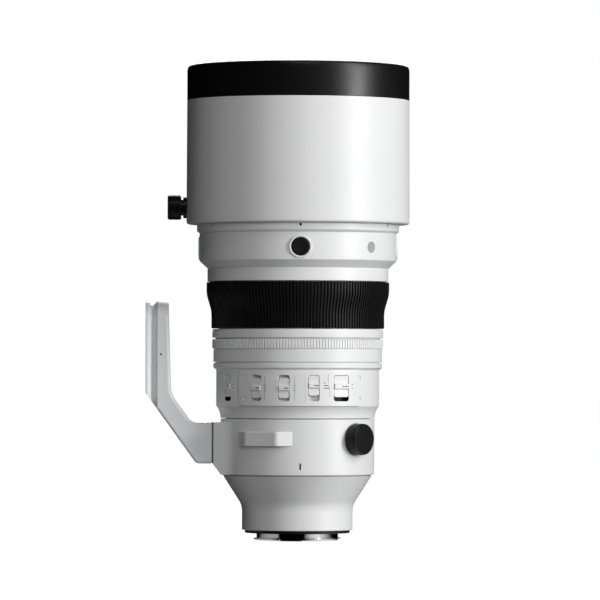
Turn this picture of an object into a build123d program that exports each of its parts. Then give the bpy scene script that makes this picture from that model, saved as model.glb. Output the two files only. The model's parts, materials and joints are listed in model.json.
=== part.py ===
"""A fast telephoto prime lens with its hood, rotating tripod collar and foot.

The origin is on the optical axis in the plane of the camera mount's flange.
+Z runs forward to the subject. -X is the underside, where the tripod foot hangs,
and -Y is the left side, which carries the switches. Sizes are in millimetres.
"""

from build123d import *
from math import asin, atan2, cos, degrees, hypot, radians, sin, sqrt
import os

# Clearances
running_gap = 0.3
rod_gap = 0.08
slider_gap = 0.3
knob_gap = 0.4

# How far a cut or a profile runs past the piece it is made in
cut_over = 1.0

# Lengths along the axis, from the flange forward
casing_rear = 1.5
rear_straight = 10.5
cone_top = 34.3
collar_gap = 0.5
collar_length = 33.6
neck_length = 7.2
switch_length = 21.9
band_foot = 1.1
tube_lap = 2.2
rear_band_length = 2.8
rear_ring_gap = 0.7
aperture_band_length = 7.4
aperture_groove = 0.6
aperture_knurl_length = 5.7
front_ring_gap = 0.9
middle_ring_length = 5.2
focus_gap = 0.45
focus_length = 27.8
front_ring_length = 7.9
flare_length = 4.6
flare_break = 1.2
front_barrel_length = 16.3
shoulder_chamfer = 1.4
shoulder_length = 4.0
front_tube_length = 17.7
hood_seat_gap = 0.3
hood_length = 96.0
hood_rim_length = 20.4

# Heights that follow from them
collar_low = cone_top + collar_gap
collar_high = collar_low + collar_length
neck_low = collar_high + collar_gap
switch_low = neck_low + neck_length
switch_high = switch_low + switch_length
rear_band_low = switch_high + band_foot
rear_band_high = rear_band_low + rear_band_length
aperture_low = rear_band_high + rear_ring_gap
aperture_groove_low = aperture_low + aperture_band_length
knurl_low = aperture_groove_low + aperture_groove
aperture_high = knurl_low + aperture_knurl_length
middle_low = aperture_high + front_ring_gap
middle_high = middle_low + middle_ring_length
focus_low = middle_high + focus_gap
focus_high = focus_low + focus_length
front_ring_low = focus_high + focus_gap
front_ring_high = front_ring_low + front_ring_length
flare_high = front_ring_high + flare_length
front_barrel_high = flare_high + front_barrel_length
shoulder_low = front_barrel_high + shoulder_chamfer
shoulder_high = shoulder_low + shoulder_length
front_tube_high = shoulder_high + front_tube_length
hood_low = shoulder_high + hood_seat_gap
hood_high = hood_low + hood_length
rim_low = hood_high - hood_rim_length

# Radii. The switch section drives the barrel, and the steps set the rest from it.
barrel_radius = 49.15
collar_step = 2.75
neck_step = 0.1
cone_step = 1.4
rear_radius = 33.4
cone_corner = 16.1
band_step = 1.75
knurl_step = 0.7
grip_rear_step = 3.0
grip_front_step = 5.98
front_ring_step = 5.45
front_barrel_step = 10.31
shoulder_step = 1.55
hood_step = 6.37
hood_taper = 0.27

collar_radius = barrel_radius - collar_step
neck_radius = collar_radius + neck_step
cone_radius = collar_radius - cone_step
band_radius = barrel_radius + band_step
knurl_radius = band_radius + knurl_step
grip_rear_radius = barrel_radius + grip_rear_step
grip_front_radius = barrel_radius + grip_front_step
front_ring_radius = barrel_radius + front_ring_step
front_barrel_radius = barrel_radius + front_barrel_step
shoulder_radius = front_barrel_radius + shoulder_step
hood_radius = shoulder_radius + hood_step
hood_top_radius = hood_radius - hood_taper

# Walls, and the bores that they leave
collar_wall = 3.1
rear_wall = 2.5
centre_wall = 3.5
skirt_wall = 4.5
front_wall = 3.16
edge_break = 0.5
collar_bore = collar_radius - collar_wall
seat_radius = collar_bore - running_gap
rear_bore = seat_radius - rear_wall
centre_radius = seat_radius + skirt_wall
centre_bore = centre_radius - centre_wall
ring_bore = centre_radius + running_gap
front_bore = front_barrel_radius - front_wall

# Camera mount
flange_radius = 30.9
flange_thickness = 2.0
spigot_radius = 24.6
spigot_bore = 22.6
spigot_length = 4.9
lug_radius = 26.2
lug_low = -4.4
lug_high = -3.2
lug_span = 59.0
lug_count = 4
first_lug = 35.0
seal_radius = 31.65
seal_drop = 0.3
mount_screw_circle = 28.3
mount_screw_radius = 1.25
mount_screw_length = 7.0
screw_sink = 0.25
rear_throat = 27.0
throat_high = 20.0
baffle_wall = 1.6
baffle_low = 3.2
baffle_high = 6.0
baffle_window_x = 30.0
baffle_window_y = 24.0
contact_count = 10
contact_circle = 20.3
contact_radius = 0.7
contact_proud = 0.25
contact_pitch = 6.4
contact_azimuth = 180.0
contact_block_radius = 17.6
contact_block_span = 70.0

# Tripod collar: groove for the brake, boss for the foot, lugs for a strap
groove_low = collar_high - 16.9
groove_high = collar_high - 6.9
groove_depth = 2.0
boss_reach = 5.1
boss_width = 38.0
boss_root_reach = 8.4
boss_root_width = 46.8
boss_low = collar_low + 6.8
boss_high = collar_high - 2.0
boss_slope_inset = 5.5
boss_slope_drop = 7.3
strap_azimuth = 242.7
strap_low = collar_low + 17.6
strap_high = collar_low + 26.2
strap_flat = 21.0
strap_span = 35.2
strap_proud = 4.2
strap_thickness = 2.2
strap_foot_drop = 3.2
strap_leg = 5.0

# Tripod foot
foot_width = 38.0
foot_reach = 40.4
foot_high = collar_low + 104.4
foot_corner = 12.0
foot_diagonal_high = collar_low + 49.4
foot_arm_flat = 9.7
foot_arm_thickness = 12.1
foot_top_depth = 13.9
foot_root_depth = 15.6
dovetail_edge = 1.3
dovetail_depth = 3.05
foot_inner_fillet = 14.0
foot_heel_fillet = 7.0
foot_toe_fillet = 4.0
foot_round = 2.2
foot_outer_round = 1.6
seam_break = 0.8
foot_bolt_radius = 2.0
foot_bolt_head = 3.3
foot_bolt_head_length = 4.0
foot_bolt_seat = 6.0
foot_bolt_grip = 5.6
foot_bolt_hole_gap = 0.4
foot_bolt_y = 11.0
foot_bolt_z = (boss_low + 6.0, boss_high - 6.4)
foot_bolt_key = 1.5
small_socket_radius = 2.55
small_socket_z = foot_high - 36.2
large_socket_radius = 3.97
large_socket_z = foot_high - 19.2
socket_depth = 9.0
side_hole_radius = 0.6
side_hole_depth = 4.0
side_hole_z = foot_high - 32.1
side_hole_x = 9.4

# Knobs: a knob turns in its threaded hole and pushes a swivelling shoe
collar_knob_azimuth = 317.0
collar_knob_z = (groove_low + groove_high) / 2
collar_knob_radius = 9.35
collar_knob_length = 7.7
collar_spot_depth = 1.2
collar_shoe_radius = 4.2
collar_shoe_thickness = 1.2
collar_knob_lift = 0.7
hood_knob_azimuth = 180.0
hood_knob_rise = 10.2
hood_knob_radius = 7.5
hood_knob_length = 8.3
hood_neck_radius = 5.0
hood_neck_gap = 1.2
hood_neck_depth = 1.3
hood_neck_sink = 0.12
hood_boss_radius = 6.6
hood_boss_proud = 1.95
hood_boss_seat = 0.9
hood_shoe_radius = 4.5
hood_shoe_thickness = 2.2
hood_shoe_lift = 1.3
stem_radius = 3.0
stud_radius = 1.5
stud_reach = 4.5

# Switch panel
plate_thickness = 0.5
plate_azimuth = 271.1
plate_width = 72.9
plate_height = 21.3
plate_corner = 2.8
slot_height = 15.7
slot_corner = 1.6
slot_z = (switch_low + switch_high) / 2
slot_floor = 3.95
narrow_slot = 7.0
wide_slot = 10.6
slider_sink = 0.25
slider_depth = 2.9
slider_ridge_height = 3.9
slider_ridge_proud = 1.1
three_way_travel = 1.55
two_way_travel = 2.2
plate_screw_radius = 1.25
plate_screw_depth = 2.4
plate_screw_offsets = (-32.95147, 34.93579)
plate_screw_inset = 4.35
plate_screw_z = (
    slot_z - plate_height / 2 + plate_screw_inset,
    slot_z + plate_height / 2 - plate_screw_inset,
)


def beside_plate_middle(offset):
    """Azimuth of a place on the barrel that stands that far across from the plate's middle."""
    return plate_azimuth + degrees(asin(offset / barrel_radius))


# Each switch: its azimuth, the width of its slot, its number of positions,
# and how far above the middle of its slot it stands
switches = {
    "preset_slider": (beside_plate_middle(-43.13232), narrow_slot, 2, 1),
    "ring_mode_slider": (beside_plate_middle(-26.48058), narrow_slot, 3, 0),
    "stabiliser_slider": (beside_plate_middle(-10.21886), narrow_slot, 3, 0),
    "limiter_slider": (beside_plate_middle(7.51925), narrow_slot, 3, 1),
    "focus_mode_slider": (beside_plate_middle(24.12792), wide_slot, 2, 1),
}

# Buttons round the front barrel
button_radius = 5.25
button_proud = 0.65
button_room = 2.0
button_flange_step = 1.05
button_flange_radius = button_radius + button_flange_step
button_flange = 0.8
button_z = flare_high + 7.6
bezel_step = 1.65
bezel_radius = button_radius + bezel_step
bezel_bore_gap = 0.35
bezel_proud = 0.55
buttons = {"left_button": 270, "top_button": 0, "right_button": 90, "bottom_button": 180}
badge_azimuth = 316.1
badge_radius = 3.35
badge_thickness = 0.6

# Front: shoulder ring, filter thread, hood
hood_seat_wall = 2.7
filter_step = 4.3
filter_radius = front_bore - filter_step
filter_depth = 6.0
grub_count = 6
grub_radius = 0.8
grub_length = 2.0
grub_sink = 0.35
grub_drop = 1.1
grub_azimuth = 270.0
hood_wall = 3.2
hood_floor = 6.4
hood_edge = 1.5
hood_sleeve_wall = 2.6
hood_sleeve_length = 16.4
rim_lap = 6.8
rim_lap_wall = 1.2
rim_wall = 4.4
rim_round = 2.6
lining_wall = 0.8
lining_ridge = 0.5
lining_ridges = 8
ridge_width = 1.0

# Focus ring
rubber = 1.9
grip_rear_flat = 9.6
grip_front_flat = 5.2

# Optics
cell_wall = 2.8
cell_lip = 1.4
front_glass_step = 4.8
second_glass_step = 7.8
front_glass_radius = front_bore - front_glass_step
second_glass_radius = front_bore - second_glass_step
front_glass_low = front_tube_high - 17.0
second_glass_low = front_tube_high - 29.0
third_glass_low = front_tube_high - 37.0
cell_low = front_tube_high - 39.0
front_glass_edge = 4.0
front_glass_crown = 6.0
glass_edge = 3.0
glass_crown = 3.0
web_low = cone_top - 5.3
web_high = cone_top - 0.3
web_bore = 25.2
field_glass_low = 10.0
front_glass_back = 0.5
second_glass_back = -1.0
third_glass_front = -1.0
third_glass_back = -0.8
rear_glass_back = 0.5
field_glass_front = 0.8
field_glass_back = -1.0

# Focusing group on its guide rods
rod_radius = 1.0
rod_socket = 4.0
carriage_rest = switch_high + 14.0
carriage_length = 9.0
carriage_bore = centre_bore - 11.0
carriage_rod_azimuths = (90, 270)
focus_glass_rise = 1.5
focus_glass_edge = 6.0
focus_glass_front = -1.5
focus_glass_back = 1.0
lip_length = 6.0
lip_bore = centre_bore - 4.5

# Image stabiliser: a frame that slides along X carries a cell that slides along Y
stabiliser_z = neck_low + 1.6
frame_thickness = 3.4
frame_radius = rear_bore - 4.0
frame_bore = 27.0
frame_rod_y = frame_radius - 4.0
frame_rod_bite = 1.4
frame_rod_half = sqrt(rear_bore**2 - frame_rod_y**2) + frame_rod_bite
rail_width = 2.5
rail_height = 5.2
rail_length = 28.0
cell_half_x = frame_radius - 6.1
cell_half_y = frame_radius - 9.0
cell_corner = 18.0
cell_thickness = 5.0
stabiliser_glass = 23.0
stabiliser_hollow = -1.2

# Iris: stacked blades pivot on the base and are driven by a slotted ring
iris_low = switch_high - 14.0
iris_plate = 2.0
iris_wall = 1.9
iris_opening = 20.0
blade_count = 9
blade_thickness = 0.25
blade_pitch = 0.6
blade_sweep = 115.0
blade_edge = 0.3
blade_turn = 30.0
ring_turn = 25.0
pivot_inset = 7.5
pivot_pin = 0.8
tail_angle = 12.0
tail_width = 3.0
pivot_eye = 2.4
drive_thickness = 1.5
drive_slot_gap = 0.25
drive_lap = 1.0
cam_points = 7


def turned(outline):
    """Close an outline of (radius, height) points into a face to turn about the axis."""
    with BuildSketch(Plane.XZ) as face:
        with BuildLine():
            Polyline(*outline, close=True)
        make_face()
    return face.sketch


def ring_face(bore, radius, low, high):
    """The section of a plain ring."""
    return turned([(bore, low), (radius, low), (radius, high), (bore, high)])


def radial_plane(azimuth, distance, height):
    """A plane square to a radius of the barrel: x runs round it and y runs forward."""
    turn = radians(azimuth)
    outward = Vector(cos(turn), sin(turn), 0)
    return Plane(
        origin=outward * distance + Vector(0, 0, height),
        x_dir=(-sin(turn), cos(turn), 0),
        z_dir=outward,
    )


def polar(radius, azimuth, height=0):
    """A point by its radius, azimuth in degrees and height."""
    return (radius * cos(radians(azimuth)), radius * sin(radians(azimuth)), height)


def radial_disc(azimuth, height, radius, inner_distance, outer_distance):
    """A round plug on a radius of the barrel, between two distances from the axis."""
    with BuildPart() as disc:
        with BuildSketch(radial_plane(azimuth, inner_distance, height)):
            Circle(radius)
        extrude(amount=outer_distance - inner_distance)
    return disc.part


def radial_block(azimuth, height, width, tall, corner, inner_distance, outer_distance):
    """A rounded block on a radius of the barrel, between two distances from the axis."""
    with BuildPart() as block:
        with BuildSketch(radial_plane(azimuth, inner_distance, height)):
            RectangleRounded(width, tall, corner)
        extrude(amount=outer_distance - inner_distance)
    return block.part


def crown_at(radius, bulge, distance):
    """Height of a spherical face above its rim, at a distance from the axis."""
    sphere = (radius**2 + bulge**2) / (2 * abs(bulge))
    fall = sphere - sqrt(sphere**2 - distance**2)
    return bulge - fall if bulge > 0 else bulge + fall


def lens_face(radius, low, edge, front_bulge, rear_bulge):
    """Half the section of a lens: positive bulges crown outwards and negative ones hollow it."""
    front = low + edge
    half = radius / 2
    with BuildSketch(Plane.XZ) as face:
        with BuildLine():
            Line((0, low - rear_bulge), (0, front + front_bulge))
            ThreePointArc(
                (0, front + front_bulge),
                (half, front + crown_at(radius, front_bulge, half)),
                (radius, front),
            )
            Line((radius, front), (radius, low))
            ThreePointArc(
                (radius, low),
                (half, low - crown_at(radius, rear_bulge, half)),
                (0, low - rear_bulge),
            )
        make_face()
    return face.sketch


# Camera mount

with BuildPart() as bayonet_mount:
    revolve(ring_face(spigot_bore, flange_radius, 0, casing_rear + flange_thickness), axis=Axis.Z)
    revolve(ring_face(spigot_bore, spigot_radius, -spigot_length, 0), axis=Axis.Z)
    for index in range(lug_count):
        start = first_lug + index * 360 / lug_count - lug_span / 2
        lug = ring_face(spigot_bore, lug_radius, lug_low, lug_high)
        revolve(lug.rotate(Axis.Z, start), axis=Axis.Z, revolution_arc=lug_span)
    with PolarLocations(mount_screw_circle, lug_count, first_lug - 180 / lug_count):
        Hole(mount_screw_radius)

with BuildPart() as mount_screws:
    with BuildSketch(Plane.XY.offset(screw_sink)):
        with PolarLocations(mount_screw_circle, lug_count, first_lug - 180 / lug_count):
            Circle(mount_screw_radius)
    extrude(amount=mount_screw_length)

with BuildPart() as mount_seal:
    revolve(ring_face(flange_radius, seal_radius, -seal_drop, casing_rear), axis=Axis.Z)

with BuildPart() as rear_baffle:
    revolve(ring_face(0, spigot_bore, baffle_low, baffle_high), axis=Axis.Z)
    revolve(
        ring_face(spigot_bore - baffle_wall, spigot_bore, lug_low, baffle_low), axis=Axis.Z
    )
    block = ring_face(contact_block_radius, spigot_bore, lug_low, baffle_low)
    block_start = contact_azimuth - contact_block_span / 2
    revolve(
        block.rotate(Axis.Z, block_start), axis=Axis.Z, revolution_arc=contact_block_span
    )
    with BuildSketch(Plane.XY.offset(baffle_low)):
        Rectangle(baffle_window_x, baffle_window_y)
    extrude(amount=baffle_high, mode=Mode.SUBTRACT)

with BuildPart() as contact_pins:
    for index in range(contact_count):
        azimuth = contact_azimuth + (index - (contact_count - 1) / 2) * contact_pitch
        with BuildSketch(Plane.XY.offset(lug_low - contact_proud)):
            with Locations(polar(contact_circle, azimuth)[:2]):
                Circle(contact_radius)
        extrude(amount=contact_proud)

# Rear casing: straight neck, cone, and the long seat that carries collar and barrel

blend_high = casing_rear + rear_straight
cone_run = hypot(cone_radius - rear_radius, cone_top - cone_corner)
blend_share = (cone_corner - blend_high) / cone_run
blend_end = (
    rear_radius + blend_share * (cone_radius - rear_radius),
    cone_corner + blend_share * (cone_top - cone_corner),
)
groove_radius = seat_radius - groove_depth
rod_circle = (seat_radius + rear_bore) / 2
lip_low = front_ring_high - edge_break - lip_length

with BuildPart() as rear_barrel:
    with BuildSketch(Plane.XZ):
        with BuildLine():
            Polyline(
                (flange_radius, casing_rear),
                (rear_radius - edge_break, casing_rear),
                (rear_radius, casing_rear + edge_break),
                (rear_radius, blend_high),
            )
            TangentArc((rear_radius, blend_high), blend_end, tangent=(0, 1))
            Polyline(
                blend_end,
                (cone_radius, cone_top),
                (seat_radius, cone_top),
                (seat_radius, groove_low),
                (groove_radius, groove_low),
                (groove_radius, groove_high),
                (seat_radius, groove_high),
                (seat_radius, switch_high),
                (rear_bore, switch_high),
                (rear_bore, groove_high + rear_wall),
                (groove_radius - rear_wall, groove_high + rear_wall),
                (groove_radius - rear_wall, web_high),
                (web_bore, web_high),
                (web_bore, web_low),
                (rear_radius, web_low),
                (rear_throat, throat_high),
                (rear_throat, casing_rear + flange_thickness),
                (flange_radius, casing_rear + flange_thickness),
                (flange_radius, casing_rear),
            )
        make_face()
    revolve(axis=Axis.Z)
    with BuildSketch(Plane.XY.offset(screw_sink)):
        with PolarLocations(mount_screw_circle, lug_count, first_lug - 180 / lug_count):
            Circle(mount_screw_radius)
    extrude(amount=mount_screw_length, mode=Mode.SUBTRACT)
    with BuildSketch(Plane.XY.offset(switch_high - rod_socket)):
        for azimuth in carriage_rod_azimuths:
            with Locations(polar(rod_circle, azimuth)[:2]):
                Circle(rod_radius)
    extrude(amount=rod_socket, mode=Mode.SUBTRACT)
    with BuildSketch(Plane.YZ.offset(-frame_rod_half)):
        with Locations((-frame_rod_y, stabiliser_z), (frame_rod_y, stabiliser_z)):
            Circle(rod_radius)
    extrude(amount=2 * frame_rod_half, mode=Mode.SUBTRACT)

# Switch section

plug_reach = barrel_radius + plate_thickness + slider_ridge_proud
slot_bottom = barrel_radius - slot_floor


def slot_cut(azimuth, width):
    """The pocket of one switch."""
    return radial_block(azimuth, slot_z, width, slot_height, slot_corner, slot_bottom, plug_reach)


def plate_screw_places():
    """Azimuth and height of each screw of the switch plate."""
    azimuths = [beside_plate_middle(offset) for offset in plate_screw_offsets]
    return [(azimuth, height) for azimuth in azimuths for height in plate_screw_z]


with BuildPart() as switch_barrel:
    with BuildSketch(Plane.XZ):
        with BuildLine():
            Line((seat_radius, neck_low), (neck_radius, neck_low))
            TangentArc((neck_radius, neck_low), (barrel_radius, switch_low), tangent=(0, 1))
            Polyline(
                (barrel_radius, switch_low),
                (barrel_radius, switch_high),
                (band_radius, rear_band_low),
                (band_radius, rear_band_high),
                (centre_radius, rear_band_high),
                (centre_radius, switch_high - tube_lap),
                (seat_radius, switch_high - tube_lap),
                (seat_radius, neck_low),
            )
        make_face()
    revolve(axis=Axis.Z)
    for azimuth, width, *stops in switches.values():
        add(slot_cut(azimuth, width), mode=Mode.SUBTRACT)
    for azimuth, height in plate_screw_places():
        add(
            radial_disc(
                azimuth, height, plate_screw_radius, barrel_radius - plate_screw_depth, plug_reach
            ),
            mode=Mode.SUBTRACT,
        )

with BuildPart() as switch_plate:
    revolve(
        ring_face(
            barrel_radius,
            barrel_radius + plate_thickness,
            slot_z - plate_height / 2,
            slot_z + plate_height / 2,
        ),
        axis=Axis.Z,
    )
    add(
        radial_block(
            plate_azimuth, slot_z, plate_width, plate_height, plate_corner, 0, 2 * barrel_radius
        ),
        mode=Mode.INTERSECT,
    )
    for name, (azimuth, width, *stops) in switches.items():
        if name != "preset_slider":
            add(slot_cut(azimuth, width), mode=Mode.SUBTRACT)
    for azimuth, height in plate_screw_places():
        add(
            radial_disc(
                azimuth, height, plate_screw_radius, barrel_radius - plate_screw_depth, plug_reach
            ),
            mode=Mode.SUBTRACT,
        )

with BuildPart() as plate_screws:
    for azimuth, height in plate_screw_places():
        add(
            radial_disc(
                azimuth,
                height,
                plate_screw_radius,
                barrel_radius - plate_screw_depth,
                barrel_radius + plate_thickness - screw_sink,
            )
        )


def make_slider(azimuth, width, positions, place):
    """One switch button: a pad that runs in its slot and a ridge for the thumb."""
    travel = three_way_travel * 2 if positions == 3 else two_way_travel
    tall = slot_height - 2 * slider_gap - travel
    height = slot_z + place * travel / 2
    pad_width = width - 2 * slider_gap
    on_plate = abs(azimuth - plate_azimuth) < degrees(plate_width / 2 / barrel_radius)
    pad_top = barrel_radius - slider_sink + (plate_thickness if on_plate else 0)
    with BuildPart() as slider:
        add(
            radial_block(
                azimuth, height, pad_width, tall, slot_corner - slider_gap, pad_top - slider_depth, pad_top
            )
        )
        add(
            radial_block(
                azimuth,
                height,
                pad_width,
                slider_ridge_height,
                edge_break,
                pad_top - edge_break,
                pad_top + slider_ridge_proud - slider_sink,
            )
        )
    return slider


sliders = {name: make_slider(*facts) for name, facts in switches.items()}

# Centre tube: carries the aperture and focus rings and shows as the ring between them

with BuildPart() as centre_tube:
    revolve(
        turned(
            [
                (seat_radius, switch_high - tube_lap),
                (centre_radius, switch_high - tube_lap),
                (centre_radius, middle_low),
                (knurl_radius, middle_low),
                (knurl_radius, middle_high),
                (centre_radius, middle_high),
                (centre_radius, front_ring_high - edge_break),
                (lip_bore, front_ring_high - edge_break),
                (lip_bore, lip_low),
                (centre_bore, lip_low),
                (centre_bore, switch_high),
                (seat_radius, switch_high),
            ]
        ),
        axis=Axis.Z,
    )
    with BuildSketch(Plane.XY.offset(lip_low)):
        for azimuth in carriage_rod_azimuths:
            with Locations(polar(rod_circle, azimuth)[:2]):
                Circle(rod_radius)
    extrude(amount=rod_socket, mode=Mode.SUBTRACT)
    for azimuth, width, *stops in switches.values():
        add(slot_cut(azimuth, width), mode=Mode.SUBTRACT)

with BuildPart() as aperture_ring:
    revolve(
        turned(
            [
                (ring_bore, aperture_low),
                (band_radius, aperture_low),
                (band_radius, aperture_groove_low),
                (band_radius - edge_break, aperture_groove_low),
                (band_radius - edge_break, knurl_low),
                (knurl_radius, knurl_low),
                (knurl_radius, aperture_high),
                (ring_bore, aperture_high),
            ]
        ),
        axis=Axis.Z,
    )


def grip_section(inner_rear, inner_front, outer_rear, outer_front, straight_bore):
    """Section of the focus ring's waisted profile, between two S curves or over a plain bore."""
    curve_low = focus_low + grip_rear_flat
    curve_high = focus_high - grip_front_flat
    with BuildSketch(Plane.XZ) as face:
        with BuildLine():
            Line((outer_rear, focus_low), (outer_rear, curve_low))
            Spline(
                (outer_rear, curve_low), (outer_front, curve_high), tangents=((0, 1), (0, 1))
            )
            Line((outer_front, curve_high), (outer_front, focus_high))
            if straight_bore:
                Polyline(
                    (outer_front, focus_high),
                    (inner_front, focus_high),
                    (inner_rear, focus_low),
                    (outer_rear, focus_low),
                )
            else:
                Line((outer_front, focus_high), (inner_front, focus_high))
                Line((inner_front, focus_high), (inner_front, curve_high))
                Spline(
                    (inner_front, curve_high), (inner_rear, curve_low), tangents=((0, -1), (0, -1))
                )
                Polyline((inner_rear, curve_low), (inner_rear, focus_low), (outer_rear, focus_low))
        make_face()
    return face.sketch


with BuildPart() as focus_sleeve:
    revolve(
        grip_section(
            ring_bore, ring_bore, grip_rear_radius - rubber, grip_front_radius - rubber, True
        ),
        axis=Axis.Z,
    )

with BuildPart() as focus_grip:
    revolve(
        grip_section(
            grip_rear_radius - rubber,
            grip_front_radius - rubber,
            grip_rear_radius,
            grip_front_radius,
            False,
        ),
        axis=Axis.Z,
    )

# Front barrel with its four hold buttons

button_face = front_barrel_radius + button_proud
bezel_face = front_barrel_radius + bezel_proud

with BuildPart() as front_barrel:
    revolve(
        turned(
            [
                (centre_radius, front_ring_low),
                (front_ring_radius, front_ring_low),
                (front_ring_radius, front_ring_high),
                (front_barrel_radius - flare_break, flare_high - flare_break),
                (front_barrel_radius, flare_high),
                (front_barrel_radius, front_barrel_high),
                (front_bore, front_barrel_high),
                (front_bore, flare_high),
                (centre_radius, front_ring_high),
            ]
        ),
        axis=Axis.Z,
    )
    for azimuth in buttons.values():
        add(
            radial_disc(azimuth, button_z, bezel_radius, front_bore - button_room, bezel_face),
            mode=Mode.SUBTRACT,
        )
    add(
        radial_disc(
            badge_azimuth,
            button_z,
            badge_radius,
            front_barrel_radius - badge_thickness,
            bezel_face,
        ),
        mode=Mode.SUBTRACT,
    )

with BuildPart() as badge_disc:
    add(
        radial_disc(
            badge_azimuth,
            button_z,
            badge_radius,
            front_barrel_radius - badge_thickness,
            front_barrel_radius,
        )
    )

with BuildPart() as button_bezels:
    for azimuth in buttons.values():
        add(radial_disc(azimuth, button_z, bezel_radius, front_bore, bezel_face))
        add(
            radial_disc(
                azimuth,
                button_z,
                button_radius + bezel_bore_gap,
                front_bore - cut_over,
                button_face + cut_over,
            ),
            mode=Mode.SUBTRACT,
        )


def make_button(azimuth):
    """A round push button with the flange that holds it behind its bezel."""
    flange_top = front_bore - running_gap
    with BuildPart() as button:
        add(
            radial_disc(
                azimuth, button_z, button_flange_radius, flange_top - button_flange, flange_top
            )
        )
        add(radial_disc(azimuth, button_z, button_radius, flange_top, button_face))
    return button


button_parts = {name: make_button(azimuth) for name, azimuth in buttons.items()}

# Shoulder ring, with the tube that the hood seats on and the filter thread in its mouth

hood_seat_radius = shoulder_radius - hood_seat_wall
grub_height = shoulder_high - grub_drop


def grub_places():
    """Azimuth of each grub screw in the shoulder ring."""
    return [grub_azimuth + index * 360 / grub_count for index in range(grub_count)]


with BuildPart() as shoulder_ring:
    revolve(
        turned(
            [
                (front_bore, front_barrel_high),
                (front_barrel_radius - edge_break, front_barrel_high),
                (shoulder_radius, shoulder_low),
                (shoulder_radius, shoulder_high),
                (hood_seat_radius, shoulder_high),
                (hood_seat_radius, front_tube_high),
                (filter_radius, front_tube_high),
                (filter_radius, front_tube_high - filter_depth),
                (front_bore, front_tube_high - filter_depth),
            ]
        ),
        axis=Axis.Z,
    )
    for azimuth in grub_places():
        add(
            radial_disc(
                azimuth,
                grub_height,
                grub_radius,
                shoulder_radius - grub_sink - grub_length,
                shoulder_radius + cut_over,
            ),
            mode=Mode.SUBTRACT,
        )

with BuildPart() as shoulder_screws:
    for azimuth in grub_places():
        add(
            radial_disc(
                azimuth,
                grub_height,
                grub_radius,
                shoulder_radius - grub_sink - grub_length,
                shoulder_radius - grub_sink,
            )
        )

# Glass and the cell that holds the front of it

cell_high = front_tube_high - filter_depth
cell_waist = front_bore - cell_wall

with BuildPart() as front_cell:
    revolve(
        turned(
            [
                (second_glass_radius - cell_lip, cell_low),
                (cell_waist, cell_low),
                (cell_waist, front_barrel_high),
                (front_bore, front_barrel_high),
                (front_bore, cell_high),
                (front_glass_radius - cell_lip, cell_high),
                (front_glass_radius - cell_lip, front_glass_low + front_glass_edge + cell_lip),
                (front_glass_radius, front_glass_low + front_glass_edge),
                (front_glass_radius, front_glass_low),
                (second_glass_radius, front_glass_low - cell_lip),
                (second_glass_radius, third_glass_low),
                (second_glass_radius - cell_lip, third_glass_low),
            ]
        ),
        axis=Axis.Z,
    )

with BuildPart() as front_element:
    revolve(
        lens_face(
            front_glass_radius,
            front_glass_low,
            front_glass_edge,
            front_glass_crown,
            front_glass_back,
        ),
        axis=Axis.Z,
    )

with BuildPart() as inner_elements:
    inner_glass = [
        (second_glass_radius, second_glass_low, glass_crown, second_glass_back),
        (second_glass_radius, third_glass_low, third_glass_front, third_glass_back),
        (web_bore, web_low, glass_crown, rear_glass_back),
        (rear_throat, field_glass_low, field_glass_front, field_glass_back),
    ]
    for radius, low, front_bulge, rear_bulge in inner_glass:
        revolve(lens_face(radius, low, glass_edge, front_bulge, rear_bulge), axis=Axis.Z)

# Focusing group

rod_low = switch_high - rod_socket
rod_high = lip_low + rod_socket
carriage_radius = centre_bore - running_gap

with BuildPart() as guide_rods:
    with BuildSketch(Plane.XY.offset(rod_low)):
        for azimuth in carriage_rod_azimuths:
            with Locations(polar(rod_circle, azimuth)[:2]):
                Circle(rod_radius)
    extrude(amount=rod_high - rod_low)
    with BuildSketch(Plane.YZ.offset(-frame_rod_half)):
        with Locations((-frame_rod_y, stabiliser_z), (frame_rod_y, stabiliser_z)):
            Circle(rod_radius)
    extrude(amount=2 * frame_rod_half)

with BuildPart() as focus_carriage:
    revolve(
        ring_face(carriage_bore, carriage_radius, carriage_rest, carriage_rest + carriage_length),
        axis=Axis.Z,
    )
    with BuildSketch(Plane.XY.offset(carriage_rest)):
        for azimuth in carriage_rod_azimuths:
            with Locations(polar(rod_circle, azimuth)[:2]):
                Circle(rod_radius + rod_gap)
    extrude(amount=carriage_length, mode=Mode.SUBTRACT)

with BuildPart() as focus_element:
    revolve(
        lens_face(
            carriage_bore,
            carriage_rest + focus_glass_rise,
            focus_glass_edge,
            focus_glass_front,
            focus_glass_back,
        ),
        axis=Axis.Z,
    )

# Image stabiliser

frame_low = stabiliser_z - frame_thickness / 2
frame_high = stabiliser_z + frame_thickness / 2
cell_rest = frame_high + running_gap
rail_inner = cell_half_x + running_gap

with BuildPart() as stabiliser_frame:
    revolve(ring_face(frame_bore, frame_radius, frame_low, frame_high), axis=Axis.Z)
    with BuildSketch(Plane.XY.offset(frame_high)):
        for side in (-1, 1):
            with Locations((side * (rail_inner + rail_width / 2), 0)):
                Rectangle(rail_width, rail_length)
    extrude(amount=rail_height)
    with BuildSketch(Plane.YZ.offset(-frame_radius)):
        with Locations((-frame_rod_y, stabiliser_z), (frame_rod_y, stabiliser_z)):
            Circle(rod_radius + rod_gap)
    extrude(amount=2 * frame_radius, mode=Mode.SUBTRACT)

with BuildPart() as stabiliser_cell:
    with BuildSketch(Plane.XY.offset(cell_rest)):
        RectangleRounded(2 * cell_half_x, 2 * cell_half_y, cell_corner)
        Circle(stabiliser_glass, mode=Mode.SUBTRACT)
    extrude(amount=cell_thickness)

with BuildPart() as stabiliser_element:
    revolve(
        lens_face(
            stabiliser_glass, cell_rest, cell_thickness, stabiliser_hollow, stabiliser_hollow
        ),
        axis=Axis.Z,
    )

# Iris

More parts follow.
